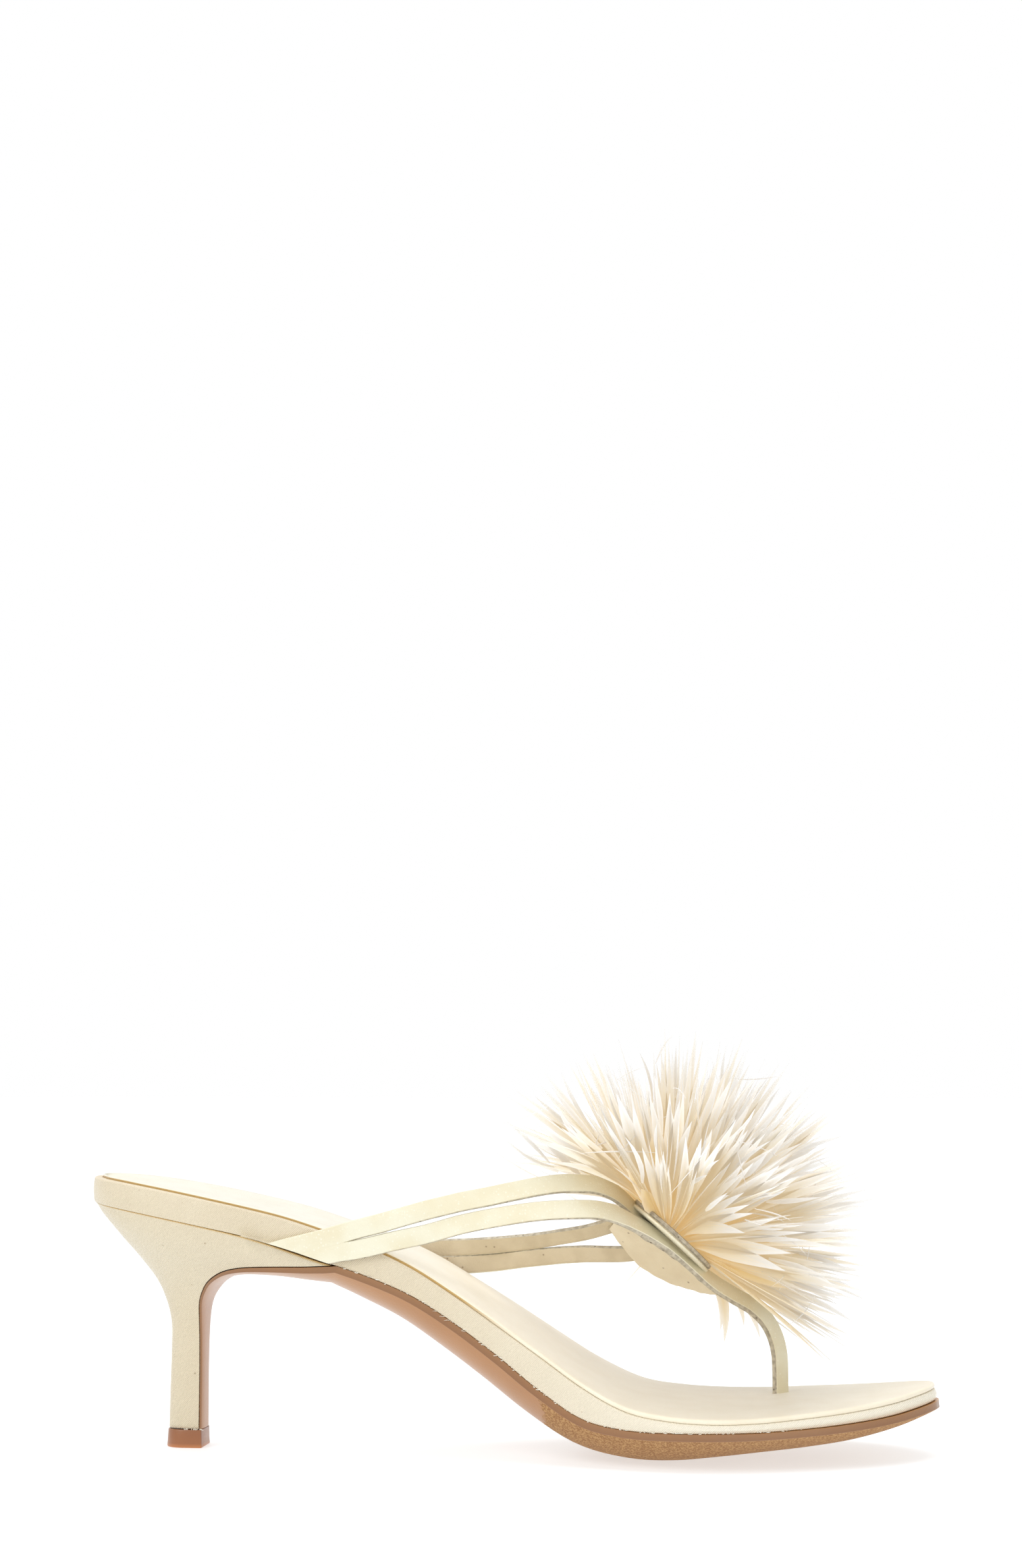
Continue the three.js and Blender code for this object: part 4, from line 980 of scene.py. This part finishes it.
def lift_grid():
    """A D outline with round front corners, carried up with bevelled rims and a slight flare.

    The outline is a half circle, two straight sides and two quarter circles. At each height it
    grows or shrinks along the lines out of its middle. The second result marks the cut face.
    """
    half = LIFT_WIDTH / 2
    arc = np.linspace(0, np.pi, 33)
    turn = np.linspace(0, np.pi / 2, 6)
    sine, cosine = LIFT_CORNER * np.sin(turn), LIFT_CORNER * np.cos(turn)
    front, side = LIFT_FRONT - LIFT_CORNER, half - LIFT_CORNER
    x = np.concatenate([-LIFT_BACK + half - half * np.sin(arc), front + sine, front + cosine])
    y = np.concatenate([-half * np.cos(arc), side + cosine, -side - sine])
    z = np.append([0, 0, 0.08, 0.3, 1.2], LIFT_HEIGHT - np.array([0.3, 0.05, 0, 0]))
    grow = np.array([-2.0, -0.3, -0.1, 0, -0.08, -0.28, -0.4, -0.65, -2.0]) + LIFT_FLARE
    middle = np.array([-0.4, 0])
    radial = np.stack([x, y], axis=-1) - middle
    radial = radial + unit(radial) * grow[:, None, None]
    heights = np.broadcast_to(z[:, None, None], (len(z), len(x), 1))
    cut = np.clip(1 - z / CUT_HEIGHT, 0, 1)[:, None] * np.ones(len(x))
    return np.concatenate([radial + middle, heights], axis=-1), cut


grid, cut = lift_grid()
lift = add_skin("top_lift_tip", grid, [lift_rubber], marks={"seam_shade_and_edge": cut})
attach(lift, "top_lift")

# Sock: the lining glued on top of the footbed, off-white at the seat and turning to beige under
# the toes. Around the seat it lies inside the rim, and it covers the forefoot to its edge.
SOCK_EDGE = 0.3  # bare edge that it leaves at the forefoot
SOCK_ROLL = 0.7
SEAT_ROLL = 0.35
# Where its colour begins and ends to change
BEIGE_START = 0.03
BEIGE_END = 0.10

sock_leather, tree, shader = new_material("sock leather", {"Roughness": 0.5, "Sheen Weight": 0.5})
place, along_x = object_place(tree)
mottle = use_group(tree, mottle_group, {"Vector": place, "Cloud scale": 120.0, "Pore and glint size": 0.1})
white_seat = mix(tree, mottle["Cloud"], (0.83, 0.80, 0.67), (0.79, 0.75, 0.61))
beige_fore = mix(tree, mottle["Cloud"], (0.91, 0.83, 0.66), (0.88, 0.79, 0.61))
sock_colour = mix(tree, span(tree, along_x, BEIGE_START, BEIGE_END), white_seat, beige_fore)
sock_colour = mix(tree, attribute(tree, "seam_shade_and_edge"), sock_colour, (0.55, 0.36, 0.12))
tree.links.new(sock_colour, shader["Base Color"])
fine = use_group(tree, grain_group, {"Vector": place, "Cells": 1700.0})["Height"]
add_relief(tree, shader, fine, 0.6)


def sock_grid():
    """A thin slab with rolled rims: inside the rim at the seat, and near the edge at the forefoot.

    Each wall is a quarter circle out from the bed and a quarter circle in over the top. The second
    result marks the cut edge around the seat.
    """
    along = stations(BED_STATIONS)
    rim = read(profile, along, "rim")[:, None]
    margin = rim * (SOCK_MARGIN + GAP) + (1 - rim) * SOCK_EDGE
    roll = rim * SEAT_ROLL + (1 - rim) * SOCK_ROLL
    sine, cosine = quarter(6)
    inset = np.concatenate([margin + roll * (1 - sine), margin + roll * (1 - cosine)], axis=1)
    low = roll * (1 - cosine)
    high = -roll * (1 - sine)

    def height(x):
        half = x.shape[1] // 2
        below = bed_height(x[:, :half]) + low
        return np.concatenate([below, tread_height(x[:, half:]) + high], axis=1)

    def top(x, swell):
        return tread_height(x) + crown_at(x) * swell

    def base(x, swell):
        return bed_height(x) + crown_at(x) * swell - 0.05

    grid = slab_grid(along, inset, height, top, base)
    wall = inset.shape[1]
    side = np.zeros(wall)
    side[:wall // 2 + 1] = 1
    seat = np.clip((0.52 - along) / SEAT_FADE, 0, 1)[:, None]
    side = side * seat
    return grid, slab_marks(side)


grid, seam_shade_and_edge = sock_grid()
sock = add_skin("insole_lining", grid, [sock_leather], capped=False, marks={"seam_shade_and_edge": seam_shade_and_edge})
attach(sock, "insole_sock")

# Backing disc: two rounds of leather, raw at their edges, glued into one with the feathers on
# top of it. Its underside is the straps' pearl leather.
DISC_RADIUS = 14.6
DISC_THICKNESS = 2.6
DISC_PITCH = 41.5  # degrees that it leans towards the toe
DISC_ROLL = 8  # degrees that it leans towards the big toe's side
DISC_PLACE = (0.692, -0.158, 0.9)  # along, out and over, as in the upper's tables
DISC_TRIM = 0.99  # keeps the waves of its edge near the radius
DISC_AROUND = 120
RAW_ABOVE = -0.1  # the pearl leather covers the disc below this height over its middle

pitch = np.radians(DISC_PITCH)
roll = np.radians(DISC_ROLL)
disc_middle = upper_point(*np.array(DISC_PLACE), -1)
# Columns: towards the toe and down, towards the big toe's side, and out of the disc's top
disc_axes = np.array([
    [np.cos(pitch), 0, -np.sin(pitch)],
    [-np.sin(roll) * np.sin(pitch), np.cos(roll), -np.sin(roll) * np.cos(pitch)],
    [np.cos(roll) * np.sin(pitch), np.sin(roll), np.cos(roll) * np.cos(pitch)],
]).T


def on_disc(local):
    """Points given in the disc's own frame, taken to the sandal's."""
    return local @ disc_axes.T + disc_middle


def disc_grid(around):
    """A turned profile: the lower round, a groove and the upper round, with an uneven cut edge.

    Each ring is a circle, and the outer ones wave by three sines round the disc.
    """
    radius, height = np.array([
        (0, -1), (0.6, -1), (0.93, -1), (0.985, -0.93), (1, -0.75), (0.997, -0.35),
        (0.975, -0.14), (0.94, -0.06), (0.94, 0.06), (0.965, 0.12), (0.985, 0.35), (0.975, 0.85),
        (0.93, 1), (0.5, 1), (0, 1),
    ]).T[..., None]
    turn = np.linspace(0, 2 * np.pi, around + 1)[:-1]
    wave = 0.006 * np.sin(7 * turn + 1) + 0.005 * np.sin(19 * turn) + 0.003 * np.sin(47 * turn + 2)
    reach = DISC_RADIUS * DISC_TRIM * radius * (1 + wave * (radius > 0.9))
    level = height * DISC_THICKNESS / 2 + 0 * reach
    local = np.stack([reach * np.cos(turn), reach * np.sin(turn), level], axis=-1)
    return on_disc(local)


grid = disc_grid(DISC_AROUND)
disc = add_skin("pompom_disc", grid, [pearl_leather, raw_edge], capped=False)
centres = np.empty(len(disc.data.polygons) * 3)
disc.data.polygons.foreach_get("center", centres)
local = (centres.reshape(-1, 3) / MM - disc_middle) @ disc_axes
raw = local[:, 2] > RAW_ABOVE
disc.data.polygons.foreach_set("material_index", raw.astype(np.int32))
attach(disc, "pompom_backing")

# Feathers: nearly two hundred goose feathers, split into narrow blades, tied and glued on the
# disc so that they spread into a burst. They are tan at the root and white at their split tips.
FEATHER_COUNT = 180
FEATHER_REACH = 57
FEATHER_WIDTH = 7.4
FEATHER_STEPS = 10
CORE_RADIUS = 10  # of the round in which they are rooted
VANE_THICKNESS = 0.12
GOLDEN_TURN = np.pi * (3 - np.sqrt(5))
chance = np.random.default_rng(11)

# The vanes glow in their own colour: painted light that stands in for light passing through the
# feathers.
glowing_feather_vane, tree, shader = new_material("feather vane with painted glow", {
    "Roughness": 0.6, "Specular IOR Level": 0.25, "Emission Strength": 0.45,
    "Subsurface Weight": 1.0, "Subsurface Radius": (1.0, 0.95, 0.85), "Subsurface Scale": 0.0035,
})
reach = attribute(tree, "reach")
tint = attribute(tree, "tint")
streak = attribute(tree, "streak")
barbs = noise(tree, add_node(tree, "ShaderNodeCombineXYZ", None, {
    "X": calculate(tree, "MULTIPLY", streak, 6.0), "Y": calculate(tree, "MULTIPLY", reach, 1.2),
    "Z": calculate(tree, "MULTIPLY", tint, 40.0),
}).outputs[0], 1.0, 2.0, 0.5)
shifted = calculate(tree, "ADD", reach, span(tree, barbs, 0.3, 0.7, -0.12, 0.12))
shifted = calculate(tree, "ADD", shifted, span(tree, tint, 0.0, 1.0, -0.14, 0.14))
lower = mix(tree, span(tree, shifted, 0.1, 0.55), (0.51, 0.365, 0.168), (0.474, 0.387, 0.25))
vane = mix(tree, span(tree, shifted, 0.6, 1.05), lower, (0.409, 0.396, 0.376))
vane = mix(tree, span(tree, barbs, 0.5, 0.75, 0.0, 0.3), vane, (0.40, 0.32, 0.195))
tree.links.new(vane, shader["Base Color"])
tree.links.new(vane, shader["Emission Color"])
add_relief(tree, shader, barbs, 0.07, 0.0002)


def add_strips(name, loops, material, marks):
    """Many closed strips as one mesh, from each one's stations and each station's corners."""
    strips, steps, ring = loops.shape[:3]
    strip, step, corner = np.mgrid[0:strips, 0:steps - 1, 0:ring]
    base = (strip * steps + step) * ring
    beside = (corner + 1) % ring
    after = base + ring
    sides = np.stack([base + corner, base + beside, after + beside, after + corner], axis=-1)
    first = (np.arange(strips) * steps * ring)[:, None] + np.arange(ring)
    faces = np.concatenate([sides.reshape(-1, 4), first, first + (steps - 1) * ring]).tolist()
    return add_mesh(name, loops.reshape(-1, 3), faces, [material], marks=marks)


def edge_angle(turn):
    """Angle from the disc's axis at which the burst ends, over the turn round it."""
    front, near = np.cos(turn), -np.sin(turn)
    return np.radians(91 - 10.5 * front - 11.5 * near + 4.5 * np.cos(2 * turn))


def bezier(start, pull, end, share):
    """Quadratic curve from a start over a pull to an end."""
    share = share[..., None]
    return (1 - share) ** 2 * start + 2 * share * (1 - share) * pull + share ** 2 * end


def heading(angle, turn):
    """Direction at an angle off the disc's axis and at a turn round it."""
    ring = np.sin(angle)
    return np.stack([ring * np.cos(turn), ring * np.sin(turn), np.cos(angle)], axis=-1)


def blade_loops(start, pull, end, half, twist, steps, fold=0.12, drift=None, root=0.2):
    """Blades along curves: a shallow V section, widest past the middle, drawn out to a fine tip.

    At a share s of a blade its width is the root's plus 1.6 s, at most whole, times (1 - s^4)^1.1.
    A drift bends it to its side by s^1.8.
    """
    share = np.linspace(0, 1, steps)[None, :] * np.ones((len(start), 1))
    path = bezier(start[:, None], pull[:, None], end[:, None], share)
    run = unit(np.gradient(path, axis=1))
    level = unit(np.cross(run, np.array([0.0, 0.0, 1.0])) + 1e-6)
    stand = unit(np.cross(run, level))
    turn = twist[:, None, None]
    across = level * np.cos(turn) + stand * np.sin(turn)
    face = stand * np.cos(turn) - level * np.sin(turn)
    if drift is not None:
        path = path + across * (drift[:, None] * share ** 1.8)[..., None]
    wide = np.minimum(1, root + 1.6 * share) * np.clip(1 - share ** 4, 0.012, 1) ** 1.1
    depth = VANE_THICKNESS * (0.25 + 0.75 * wide)
    wide = half[:, None] * wide
    corners = [
        path + across * (u * wide)[..., None] + face * (v * wide + w * depth)[..., None]
        for u, v, w in ((-1, fold, 0), (0, 0, 1), (1, fold, 0), (0, 0, -1))
    ]
    return np.stack(corners, axis=2), share, wide


def feather_bundle(count, steps):
    """Feathers set by the golden angle over the disc, each split into two to four strips.

    The strips of a feather share its root, curve and twist, and drift apart towards their tips. The
    marks are the share of the length, a streak across the vane and a tint for each feather.
    """
    index = np.arange(count)
    turn = index * GOLDEN_TURN + chance.normal(0, 0.06, count)
    limit = edge_angle(turn)
    angle = np.arccos(1 - (1 - np.cos(limit)) * (index + 0.5) / count)
    angle = angle + chance.normal(0, 0.04, count)
    reach = FEATHER_REACH * (1 + 0.07 * chance.normal(0, 1, count).clip(-2.5, 0.7))
    split = chance.integers(2, 5, count)
    owner = np.repeat(index, split)
    place = np.concatenate([np.arange(n) - (n - 1) / 2 for n in split])
    root = CORE_RADIUS * np.sqrt((index + 0.5) / count)
    bottom = np.full(count, DISC_THICKNESS / 2)
    start = np.stack([root * np.cos(turn), root * np.sin(turn), bottom], axis=-1)
    out = heading(angle, turn)
    mid = heading(np.minimum(angle, np.radians(80)), turn)
    end = out * reach[:, None] + chance.normal(0, 1.2, (count, 3))
    pull = mid * (reach * 0.45)[:, None] + chance.normal(0, 0.8, (count, 3))
    width = FEATHER_WIDTH * chance.uniform(0.75, 1.25, count)
    twist = chance.normal(0, 0.6, count)
    length = 1 - 0.09 * np.abs(place) * chance.uniform(0.2, 1.4, len(owner))
    base = start[owner]
    tip = base + (end[owner] - base) * length[:, None]
    half = width[owner] * chance.uniform(0.2, 0.32, len(owner))
    drift = place * width[owner] * chance.uniform(0.3, 0.6, len(owner))
    twists = twist[owner] + chance.normal(0, 0.25, len(owner))
    loops, share, wide = blade_loops(base, pull[owner], tip, half, twists, steps, drift=drift)
    tint = chance.uniform(0, 1, count)[owner]
    ring = np.array([-1, 0, 1, 0])
    streak = wide[..., None] * ring + (owner + place * 0.31)[:, None, None] * 3.7
    ones = np.ones(loops.shape[:3])
    tint = tint[:, None, None] * ones
    return loops, {"reach": share[..., None] * ones, "streak": streak, "tint": tint}


loops, marks = feather_bundle(FEATHER_COUNT, FEATHER_STEPS)
feathers = add_strips("feather_burst", on_disc(loops), glowing_feather_vane, marks)
attach(feathers, "feather_pompom")

# Feather down: short tan fluff round the roots, fine wisps at the tips, pale quills, a few loose
# white filaments that lie across the burst, and low feathers that stray on the far side.
FLUFF_COUNT = 90
WISP_COUNT = 170
QUILL_COUNT = 110
FILAMENT_COUNT = 50
HALF_TURN = 3.1


def spread(count, narrow):
    """Headings over the burst, set by the golden angle."""
    index = np.arange(count)
    turn = index * GOLDEN_TURN + chance.normal(0, 0.3, count)
    angle = np.arccos(1 - (1 - np.cos(edge_angle(turn) * narrow)) * (index + 0.5) / count)
    return heading(angle, turn)


def down_marks(loops, share, low, high, tone):
    """Marks for plain strips: the reach runs from low to high, and one tone a strip."""
    ones = np.ones(loops.shape[:3])
    reach_here = (low + (high - low) * share)[..., None] * ones
    side = np.array([-0.4, 0, 0.4, 0]) * ones + np.arange(len(loops))[:, None, None]
    return {"reach": reach_here, "streak": side, "tint": tone[:, None, None] * ones}


def root_at(out, share):
    """Where a strip leaves the disc: a share of the core's radius out, on its face."""
    return out * np.array([1, 1, 0]) * CORE_RADIUS * share + np.array([0, 0, DISC_THICKNESS / 2])


def tufts(count, narrow, rooted, tips, stray, halves, steps, reach, tones, fold=0.12, root=0.2):
    """Single strips round the burst on quadratic curves that stray a little from straight.

    They are rooted at a share of the core's radius, or without one hang past half of their reach.
    """
    out = spread(count, narrow)
    tip = out * (FEATHER_REACH * chance.uniform(*tips, count))[:, None]
    if rooted:
        start = root_at(out, rooted)
    else:
        start = tip * chance.uniform(0.5, 0.72, count)[:, None] + chance.normal(0, 1.5, (count, 3))
    pull = (start + tip) * 0.5 + chance.normal(0, stray, (count, 3))
    half = chance.uniform(*halves, count)
    twist = chance.uniform(0, HALF_TURN, count)
    loops, share, _ = blade_loops(start, pull, tip, half, twist, steps, fold, root=root)
    return loops, down_marks(loops, share, *reach, chance.uniform(*tones, count))


# Tips of the straying feathers, in the sandal's own frame
STRAY_TIPS = np.array([
    (152.2, 24, 28.3), (123.2, 24, 44.6), (162.6, 24, 29.6), (160.5, 26, 35.6), (113.0, 27, 70.6),
    (116.0, 28, 58.0), (151, 25, 31.5), (158, 24, 33),
])


def strays():
    """Low feathers on the far side, from under the disc's edge to their tips beside the leaf."""
    count = len(STRAY_TIPS)
    tip = (STRAY_TIPS - disc_middle) @ disc_axes
    side = unit(tip * np.array([1, 1, 0]))
    start = side * CORE_RADIUS * 0.9 + np.array([0, 0, DISC_THICKNESS / 2])
    pull = start + (tip - start) * 0.4 + np.array([0, 0, 6.0]) + side * 6
    half = chance.uniform(1.4, 2.1, count)
    loops, share, _ = blade_loops(start, pull, tip, half, chance.uniform(1.0, 2.0, count), 11)
    return loops, down_marks(loops, share, 0.2, 0.8, chance.uniform(0.2, 0.6, count))


def filaments():
    """Fine white strips that lie across the feathers, each on a flat quadratic curve."""
    out = spread(FILAMENT_COUNT, 0.97)
    middle = out * (FEATHER_REACH * chance.uniform(0.55, 0.97, FILAMENT_COUNT))[:, None]
    lie = unit(np.cross(out, chance.normal(0, 1, (FILAMENT_COUNT, 3))) + out * 0.5)
    reach_each = chance.uniform(5, 11, FILAMENT_COUNT)[:, None]
    start, tip = middle - lie * reach_each, middle + lie * reach_each
    pull = middle + out * chance.uniform(-2, 4, FILAMENT_COUNT)[:, None]
    half = chance.uniform(0.15, 0.32, FILAMENT_COUNT)
    twist = chance.uniform(0, HALF_TURN, FILAMENT_COUNT)
    loops, share, _ = blade_loops(start, pull, tip, half, twist, 9, root=0.3)
    return loops, down_marks(loops, share, 1.1, 1.2, np.ones(FILAMENT_COUNT))


down = {
    "feather_fluff": tufts(
        FLUFF_COUNT, 0.98, 0.7, tips=(0.4, 0.7), stray=1.0, halves=(1.6, 3.0), steps=7,
        reach=(0.0, 0.35), tones=(0, 0.4),
    ),
    "feather_wisps": tufts(
        WISP_COUNT, 1.0, None, tips=(0.88, 1.03), stray=1.2, halves=(0.45, 1.1), steps=6,
        reach=(0.7, 1.2), tones=(0.4, 1), root=0.4,
    ),
    "feather_quills": tufts(
        QUILL_COUNT, 0.99, 0.95, tips=(0.45, 0.85), stray=0.8, halves=(0.3, 0.5), steps=8,
        reach=(0.45, 0.9), tones=(0.5, 1), fold=-0.3, root=1,
    ),
    "feather_filaments": filaments(),
    "feather_strays": strays(),
}
for name, (loops, marks) in down.items():
    attach(add_strips(name, on_disc(loops), glowing_feather_vane, marks), "feather_pompom")

# Loose threads: the satin's cut edge frays in short fibres above the top lift, and along the seam
# between the band and the outsole. They are too fine to be solids.
THREADS_AT_LIFT = 40
THREADS_AT_SEAM = 260

loose_thread = new_material("loose satin thread", {
    "Base Color": (0.85, 0.80, 0.68, 1), "Roughness": 0.5,
})[0]


def threads():
    """Short curved fibres: some round the heel above the lift, the rest along both sides' seam."""
    low_x = chance.uniform(-1.5, 5.2, THREADS_AT_LIFT)
    side = chance.choice([-1.0, 1.0], THREADS_AT_LIFT)
    low_z = np.full(THREADS_AT_LIFT, LIFT_HEIGHT + 0.3)
    low_y = side * np.abs(heel_half(low_x, low_z + 0.2, -1))
    seam_x = chance.uniform(45, 178, THREADS_AT_SEAM)
    seam_side = chance.choice([-1, 1], THREADS_AT_SEAM)
    along = along_of(seam_x)
    seam_y = np.where(seam_side < 0, -half_width(along, -1), half_width(along, 1))
    start = np.concatenate([
        np.stack([low_x, low_y, low_z], axis=-1),
        np.stack([seam_x, seam_y, seam_height(seam_x) + 0.15], axis=-1),
    ])
    count = len(start)
    out = np.sign(start[:, 1])
    away = np.stack([
        chance.normal(0, 0.7, count), out * chance.uniform(0.0, 0.25, count),
        chance.normal(0, 0.12, count),
    ], axis=-1)
    away[:THREADS_AT_LIFT, 2] -= chance.uniform(0.2, 0.9, THREADS_AT_LIFT)
    tip = start + away
    bend = np.stack([0 * out, out * 0.2, chance.normal(0, 0.12, count)], axis=-1)
    pull = (start + tip) / 2 + bend
    half = chance.uniform(0.03, 0.07, count)
    twist = chance.uniform(0, HALF_TURN, count)
    return blade_loops(start, pull, tip, half, twist, 5, root=0.9)[0]


frayed = add_strips("frayed_threads", threads(), loose_thread, None)
attach(frayed, "footbed")

# Studio: the camera at the photo's angle, a white floor, a pale surround and large soft lamps
CAMERA_PLACE = (190.545, -794.037, 112)
CAMERA_TARGET = (93.05, 0, 188.955)
FOCAL_SHARE = 1.77681  # focal length as a share of the picture's height
FILM = 36
FLOOR_HALF = 6.0
FLOOR_GLOW = 0.58
SURROUND_LIGHT = 0.6
SANDAL_MIDDLE = (0.09, 0, 0.05)
scene = bpy.context.scene
scene.view_settings.view_transform = "Standard"


def aim(thing, place, target):
    """Sets a camera or a lamp at a place, in metres, looking at a target."""
    thing.location = Vector(place)
    thing.rotation_euler = (Vector(target) - Vector(place)).to_track_quat("-Z", "Y").to_euler()
    scene.collection.objects.link(thing)


camera = bpy.data.objects.new("camera", bpy.data.cameras.new("camera"))
camera.data.sensor_fit = "VERTICAL"
camera.data.sensor_height = FILM
camera.data.lens = FILM * FOCAL_SHARE
camera.data.clip_start = 0.01
aim(camera, Vector(CAMERA_PLACE) * MM, Vector(CAMERA_TARGET) * MM)
scene.camera = camera

floor_mesh = bpy.data.meshes.new("floor")
signs = ((-1, -1), (1, -1), (1, 1), (-1, 1))
floor_corners = [(x * FLOOR_HALF, y * FLOOR_HALF, 0) for x, y in signs]
floor_mesh.from_pydata(floor_corners, [], [(0, 1, 2, 3)])
floor = bpy.data.objects.new("floor", floor_mesh)
scene.collection.objects.link(floor)
floor_mesh.materials.append(new_material("pale floor", {
    "Base Color": (0.53, 0.56, 0.58, 1), "Roughness": 0.45, "Specular IOR Level": 0.1,
    "Emission Color": (1, 1, 1, 1), "Emission Strength": FLOOR_GLOW,
})[0])

# The surround lights the sandal less than it shows, so that the lamps still model it
world = bpy.data.worlds.new("surround")
world.use_nodes = True
tree = world.node_tree
path = add_node(tree, "ShaderNodeLightPath").outputs
seen = calculate(tree, "MAXIMUM", path["Is Camera Ray"], path["Is Glossy Ray"])
strength = calculate(tree, "MULTIPLY_ADD", seen, 1 - SURROUND_LIGHT, SURROUND_LIGHT)
tree.nodes["Background"].inputs["Color"].default_value = (1, 1, 1, 1)
tree.links.new(strength, tree.nodes["Background"].inputs["Strength"])
scene.world = world

# Each lamp's place and size in metres, and its watts
for name, place, size, power in (
    ("key", (-0.7, -1.0, 1.1), 0.8, 9),
    ("overhead", (0.1, 0.2, 1.5), 1.2, 12),
    ("front fill", (0.9, -1.3, 0.5), 1.0, 3),
):
    lamp = bpy.data.objects.new(name, bpy.data.lights.new(name, "AREA"))
    lamp.data.size = size
    lamp.data.energy = power
    aim(lamp, place, SANDAL_MIDDLE)
